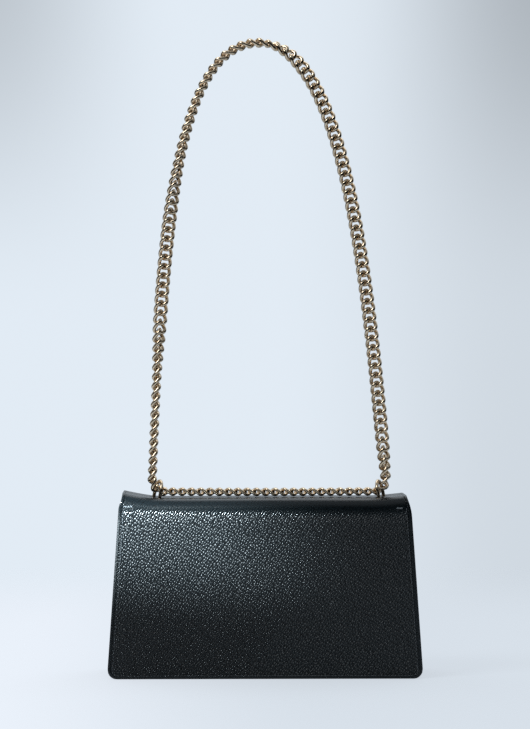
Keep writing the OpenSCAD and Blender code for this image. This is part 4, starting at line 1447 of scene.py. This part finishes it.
@dataclass
class CurbChain:
    """Closed curb chain that lies along the top, runs up through the rings and stands in an arch."""

    wire: float = 3.4 * MM
    top_wire: float = 2.7 * MM
    length: float = 11.8 * MM
    width: float = 9.7 * MM
    top_width: float = 9.2 * MM
    twist: float = 2.6 * MM
    pitch: float = 8.4 * MM
    left_x: float = -102 * MM
    right_x: float = 110 * MM
    across_z: float = 166.8 * MM
    dip: float = 0.4 * MM
    turn_r: float = 10.5 * MM
    y: float = -13.5 * MM
    stations: int = 30
    sides: int = 12
    left_share: float = 0.59
    turns: tuple[tuple[float, float], ...] = (
        (0, 90), (0.18, 90), (0.2, 72), (0.235, 14), (0.544, 14), (0.584, 90), (0.627, 92), (0.667, 98), (0.717, 110),
        (0.74, 128), (0.76, 150), (0.78, 168), (0.835, 168), (0.85, 148), (0.87, 115), (0.89, 95), (0.91, 90), (1, 90))
    arch: tuple[tuple[float, float], ...] = (
        (110, 177.3), (92.62, 375.65), (70.78, 574), (-5.54, 574), (-85.57, 574), (-94.05, 375.65), (-102, 177.3))

    def route(self) -> Array:
        """Gives the closed route of the chain in x and z."""
        r, turn_z = self.turn_r, self.across_z + self.turn_r
        span = self.right_x - self.left_x - 2 * r
        line = [(self.left_x + r + k / 10 * span, self.across_z - self.dip * math.sin(math.pi * k / 10))
                for k in range(10)]
        line += [(self.right_x - r + r * math.sin(a), turn_z - r * math.cos(a)) for a in np.radians(range(0, 90, 15))]
        p = np.array(self.arch) * MM
        line += [tuple((1 - t) ** 3 * a + 3 * (1 - t) ** 2 * t * b + 3 * (1 - t) * t * t * c + t ** 3 * d)
                 for a, b, c, d in (p[:4], p[3:]) for t in np.arange(60) / 60]
        line += [(self.left_x + r - r * math.sin(a), turn_z - r * math.cos(a)) for a in np.radians(range(90, -1, -15))]
        return np.array(line)

    def link(self, wire: float, width: float) -> Array:
        """Gives the points of one link, with its length along X and its width along Y.

        Args:
            wire: Thickness of its wire.
            width: Width to the middle of the wire.

        Returns:
            The points, round the wire at each station in turn.
        """
        t = np.linspace(0, 2 * math.pi, self.stations, endpoint=False)
        centre = np.stack([self.length / 2 * np.cos(t), width / 2 * np.sin(t), -self.twist * np.sin(2 * t)], 1)
        slope = np.stack([-self.length / 2 * np.sin(t), width / 2 * np.cos(t), -2 * self.twist * np.cos(2 * t)], 1)
        slope /= np.linalg.norm(slope, axis=1, keepdims=True)
        side = np.cross(slope, (0, 0, 1))
        side /= np.linalg.norm(side, axis=1, keepdims=True)
        up = np.cross(slope, side)
        around = [centre + wire / 2 * (math.cos(a) * side + math.sin(a) * up)
                  for a in 2 * math.pi * np.arange(self.sides) / self.sides]
        return np.stack(around, 1).reshape(-1, 3)

    def build(self) -> None:
        """Builds the links as three stretches."""
        route = self.route()
        run = np.concatenate([[0], np.cumsum(np.linalg.norm(np.diff(route, axis=0), axis=1))])
        count = int(round(run[-1] / self.pitch))
        at = np.linspace(0, run[-1], count + 1)
        joints = np.stack([np.interp(at, run, column) for column in route.T], 1)
        shares, angles = np.array(self.turns, float).T
        across = (self.right_x - self.left_x - 2 * self.turn_r) + math.pi * self.turn_r / 2
        top, left = int(math.ceil(across / run[-1] * count)), int(round(count * self.left_share))
        loops = np.arange(self.stations * self.sides).reshape(self.stations, self.sides)
        faces = bands(np.concatenate([loops, loops[:1]]))
        for name, low, high, wire, width in (("top", 0, top, self.top_wire, self.top_width),
                                             ("right", top, left, self.wire, self.width),
                                             ("left", left, count, self.wire, self.width)):
            base, shapes = self.link(wire, width), []
            for i in range(low, high):
                p, q = joints[i], joints[i + 1]
                u, v = (q - p) / np.linalg.norm(q - p)
                turn = -math.radians(float(np.interp((i + 0.5) / count, shares, angles)))
                cos, sin = math.cos(turn), math.sin(turn)
                axes = np.array([(u, 0, v), (-v * cos, sin, u * cos), (v * sin, cos, -u * sin)])
                shapes.append(np.array([(p[0] + q[0]) / 2, self.y, (p[1] + q[1]) / 2]) + base @ axes)
            dress(recalc(copies("chain_links_" + name, shapes, faces)), FINISHES.gold, Body.CHAIN, "chain_" + name)


# ---------------------------------------------------------------------------------------------- kept solids


@dataclass
class Hardware:
    """Solids of the frame that stay as they are and only get their finish."""

    plan: tuple[tuple[Finish, tuple[str, ...]], ...] = (
        (FINISHES.gold, ("ring_left", "ring_right", "snap_socket", "snap_stud", "zip_slider", "zip_puller",
                         "zip_stops")),
        (FINISHES.steel, ("ring_plate_left", "ring_plate_right", "ring_saddle_left", "ring_saddle_right",
                          "ring_rivets", "snap_socket_washer", "snap_stud_washer")),
        (FINISHES.board, ("back_board", "front_board", "base_board", "flap_board", "top_stay")))

    def build(self) -> None:
        """Dresses the solids."""
        for finish, names in self.plan:
            for name in names:
                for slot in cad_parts[name].material_slots:
                    slot.material = FINISHES.get(finish)
                LOG.info("%s: %s", name, finish.name)


# ---------------------------------------------------------------------------------------------- studio


@dataclass
class Studio:
    """Paper floor, pale backdrop, soft lamps and the camera."""

    distance: float = 2.5
    eye: float = 0.282
    turn: float = -1.2
    pan: float = -0.0125
    focal_px: float = 2740.0
    width_px: float = 530.0
    height_px: float = 729.0
    sensor: float = 36.0
    floor_r: float = 3.2
    floor_rings: int = 40
    floor_sides: int = 96
    floor_growth: float = 1.5
    pale: Colour = (0.76, 0.835, 0.91)
    room: Colour = (0.78, 0.86, 0.93)
    cool: Colour = (0.94, 0.975, 1.0)
    beam: Colour = (0.78, 0.93, 1.0)
    spot: tuple[float, float, float] = (-0.75, -1.5, 0.80)
    lit: bpy.types.Collection | None = None

    def build_floor(self) -> None:
        """Lays the floor, a round sheet of paper."""
        n = self.floor_sides
        angles = np.linspace(0, 2 * math.pi, n, endpoint=False)
        r = self.floor_r * (np.arange(1, self.floor_rings + 1)[:, None] / self.floor_rings) ** self.floor_growth
        around = np.stack([r * np.cos(angles), r * np.sin(angles), 0 * r * angles], 2).reshape(-1, 3)
        faces = [[0, 1 + k, 1 + (k + 1) % n] for k in range(n)]
        loops = 1 + np.arange(n * self.floor_rings).reshape(self.floor_rings, n)
        points = np.concatenate([[(0, 0, 0)], around])
        floor = mesh_object("paper_floor", points, faces + [f[::-1] for f in bands(loops)])
        floor.data.materials.append(StudioPaper().make())

    def lamp(self, name: str, kind: str, place: Sequence[float], aim: Sequence[float], power: float,
             colour: Colour, scale: Sequence[float] = (1, 1, 1), **settings: object) -> None:
        """Hangs one lamp.

        Args:
            name: Name of the lamp.
            kind: AREA, or SPOT for one that lights only the leather.
            place: Where it hangs.
            aim: Where it points.
            power: Power in watts.
            colour: Colour of its light.
            scale: Stretch of its beam.
            **settings: Further attributes of the lamp.
        """
        light = bpy.data.lights.new(name, kind)
        light.energy, light.color = power, colour
        for key, value in settings.items():
            setattr(light, key, value)
        obj = bpy.data.objects.new(name, light)
        bpy.context.scene.collection.objects.link(obj)
        obj.location, obj.scale = place, scale
        obj.rotation_euler = (Vector(aim) - Vector(place)).to_track_quat("-Z", "Y").to_euler()
        if kind == "SPOT":
            obj.light_linking.receiver_collection = self.lit

    def build_light(self) -> None:
        """Hangs a soft key from the upper left, a wide top light and two spots along the leather."""
        self.lit = bpy.data.collections.new("leather_light")
        self.lamp("key", "AREA", (-1.1, -0.9, 1.5), (0, 0, 0.2), 13.0, self.cool, shape="RECTANGLE", size=0.8,
                  size_y=0.8)
        self.lamp("top", "AREA", (0.0, 1.0, 2.2), (0, 0.3, 0), 14.0, self.cool, shape="RECTANGLE", size=2.6,
                  size_y=1.6)
        self.lamp("wash", "SPOT", self.spot, (0.02, -0.04, 0.07), 20.0, self.beam, (1.3, 1.0, 1.0),
                  spot_size=math.radians(12.0), spot_blend=1.0, shadow_soft_size=0.06)
        self.lamp("graze", "SPOT", self.spot, (-0.165, -0.037, 0.147), 1000.0, self.beam, (4.6, 1.0, 1.0),
                  spot_size=math.radians(3.1), spot_blend=1.0, shadow_soft_size=0.045)

    def build_world(self) -> None:
        """Sets the room that the bag mirrors, and the pale backdrop that the camera sees."""
        world = bpy.data.worlds.new("studio")
        bpy.context.scene.world = world
        world.use_nodes = True
        w = Wiring(world.node_tree)
        x, y, z = w.add("SeparateXYZ", w.add("TexCoord").outputs["Generated"]).outputs
        behind = w.math("MULTIPLY", w.span(y, 0.0, 0.62, 0.02, 0.95), w.span(z, 0.0, 0.25, 0.1, 1.0))
        room = w.tree.nodes["Background"]
        room.inputs["Color"].default_value = (*self.room, 1)
        w.wire(w.math("MAXIMUM", behind, w.span(z, 0.25, 0.95, 0.0, 0.45)), room.inputs["Strength"])
        ahead = w.math("MAXIMUM", y, 0.05)
        across = w.math("SUBTRACT", w.math("DIVIDE", x, ahead), math.tan(math.radians(-self.turn)))
        across = w.math("DIVIDE", across, self.width_px / 2 / self.focal_px)
        up = w.math("DIVIDE", w.math("DIVIDE", z, ahead), self.height_px / 2 / self.focal_px)
        corner = w.math("MULTIPLY", w.span(w.math("ABSOLUTE", across), 0.3, 1.1, 0.0, 0.33),
                        w.span(up, 0.1, 1.1, 0.0, 1.0))
        shade = w.math("MULTIPLY", w.span(across, 0.0, 1.0, 1.0, 0.83), w.math("SUBTRACT", 1.0, corner))
        pale = w.add("Background", (*self.pale, 1), shade)
        seen = w.mix(w.add("LightPath").outputs["Is Camera Ray"], room, pale)
        w.wire(seen.outputs[0], w.tree.nodes["World Output"].inputs["Surface"])

    def build_camera(self) -> None:
        """Sets the camera at the photograph's angle."""
        camera = bpy.data.cameras.new("camera")
        camera.sensor_fit = "HORIZONTAL"
        camera.sensor_width = self.sensor
        camera.lens = self.focal_px / self.width_px * self.sensor
        obj = bpy.data.objects.new("camera", camera)
        bpy.context.scene.collection.objects.link(obj)
        turn = math.radians(self.turn)
        obj.location = (self.distance * math.sin(turn), -self.distance * math.cos(turn), self.eye)
        obj.rotation_euler = (math.pi / 2, 0, turn + math.radians(self.pan))
        bpy.context.scene.camera = obj

    def build(self) -> None:
        """Builds the whole studio, and leaves out the denoiser, which would wipe away the pebble."""
        self.build_camera()
        self.build_floor()
        self.build_light()
        self.build_world()
        bpy.context.scene.view_settings.view_transform = "Standard"
        bpy.context.scene.cycles.use_denoising = False

    def light_leather(self) -> None:
        """Puts the leather and its thread in the beam of the spots, which light nothing else."""
        for name in ("back_and_flap_leather", "back_seam", "bar_tacks"):
            self.lit.objects.link(bpy.data.objects[name])


def main() -> None:
    """Builds the bag and the studio in order."""
    logging.basicConfig(level=logging.INFO, format="%(message)s")
    studio = Studio()
    studio.build()
    skin = BackAndFlap()
    walls = Walls()
    skin.build()
    skin.sew()
    walls.build()
    FlapInside(skin).build(walls)
    Inside().build()
    CurbChain().build()
    Hardware().build()
    studio.light_leather()


if __name__ == "__main__":
    main()
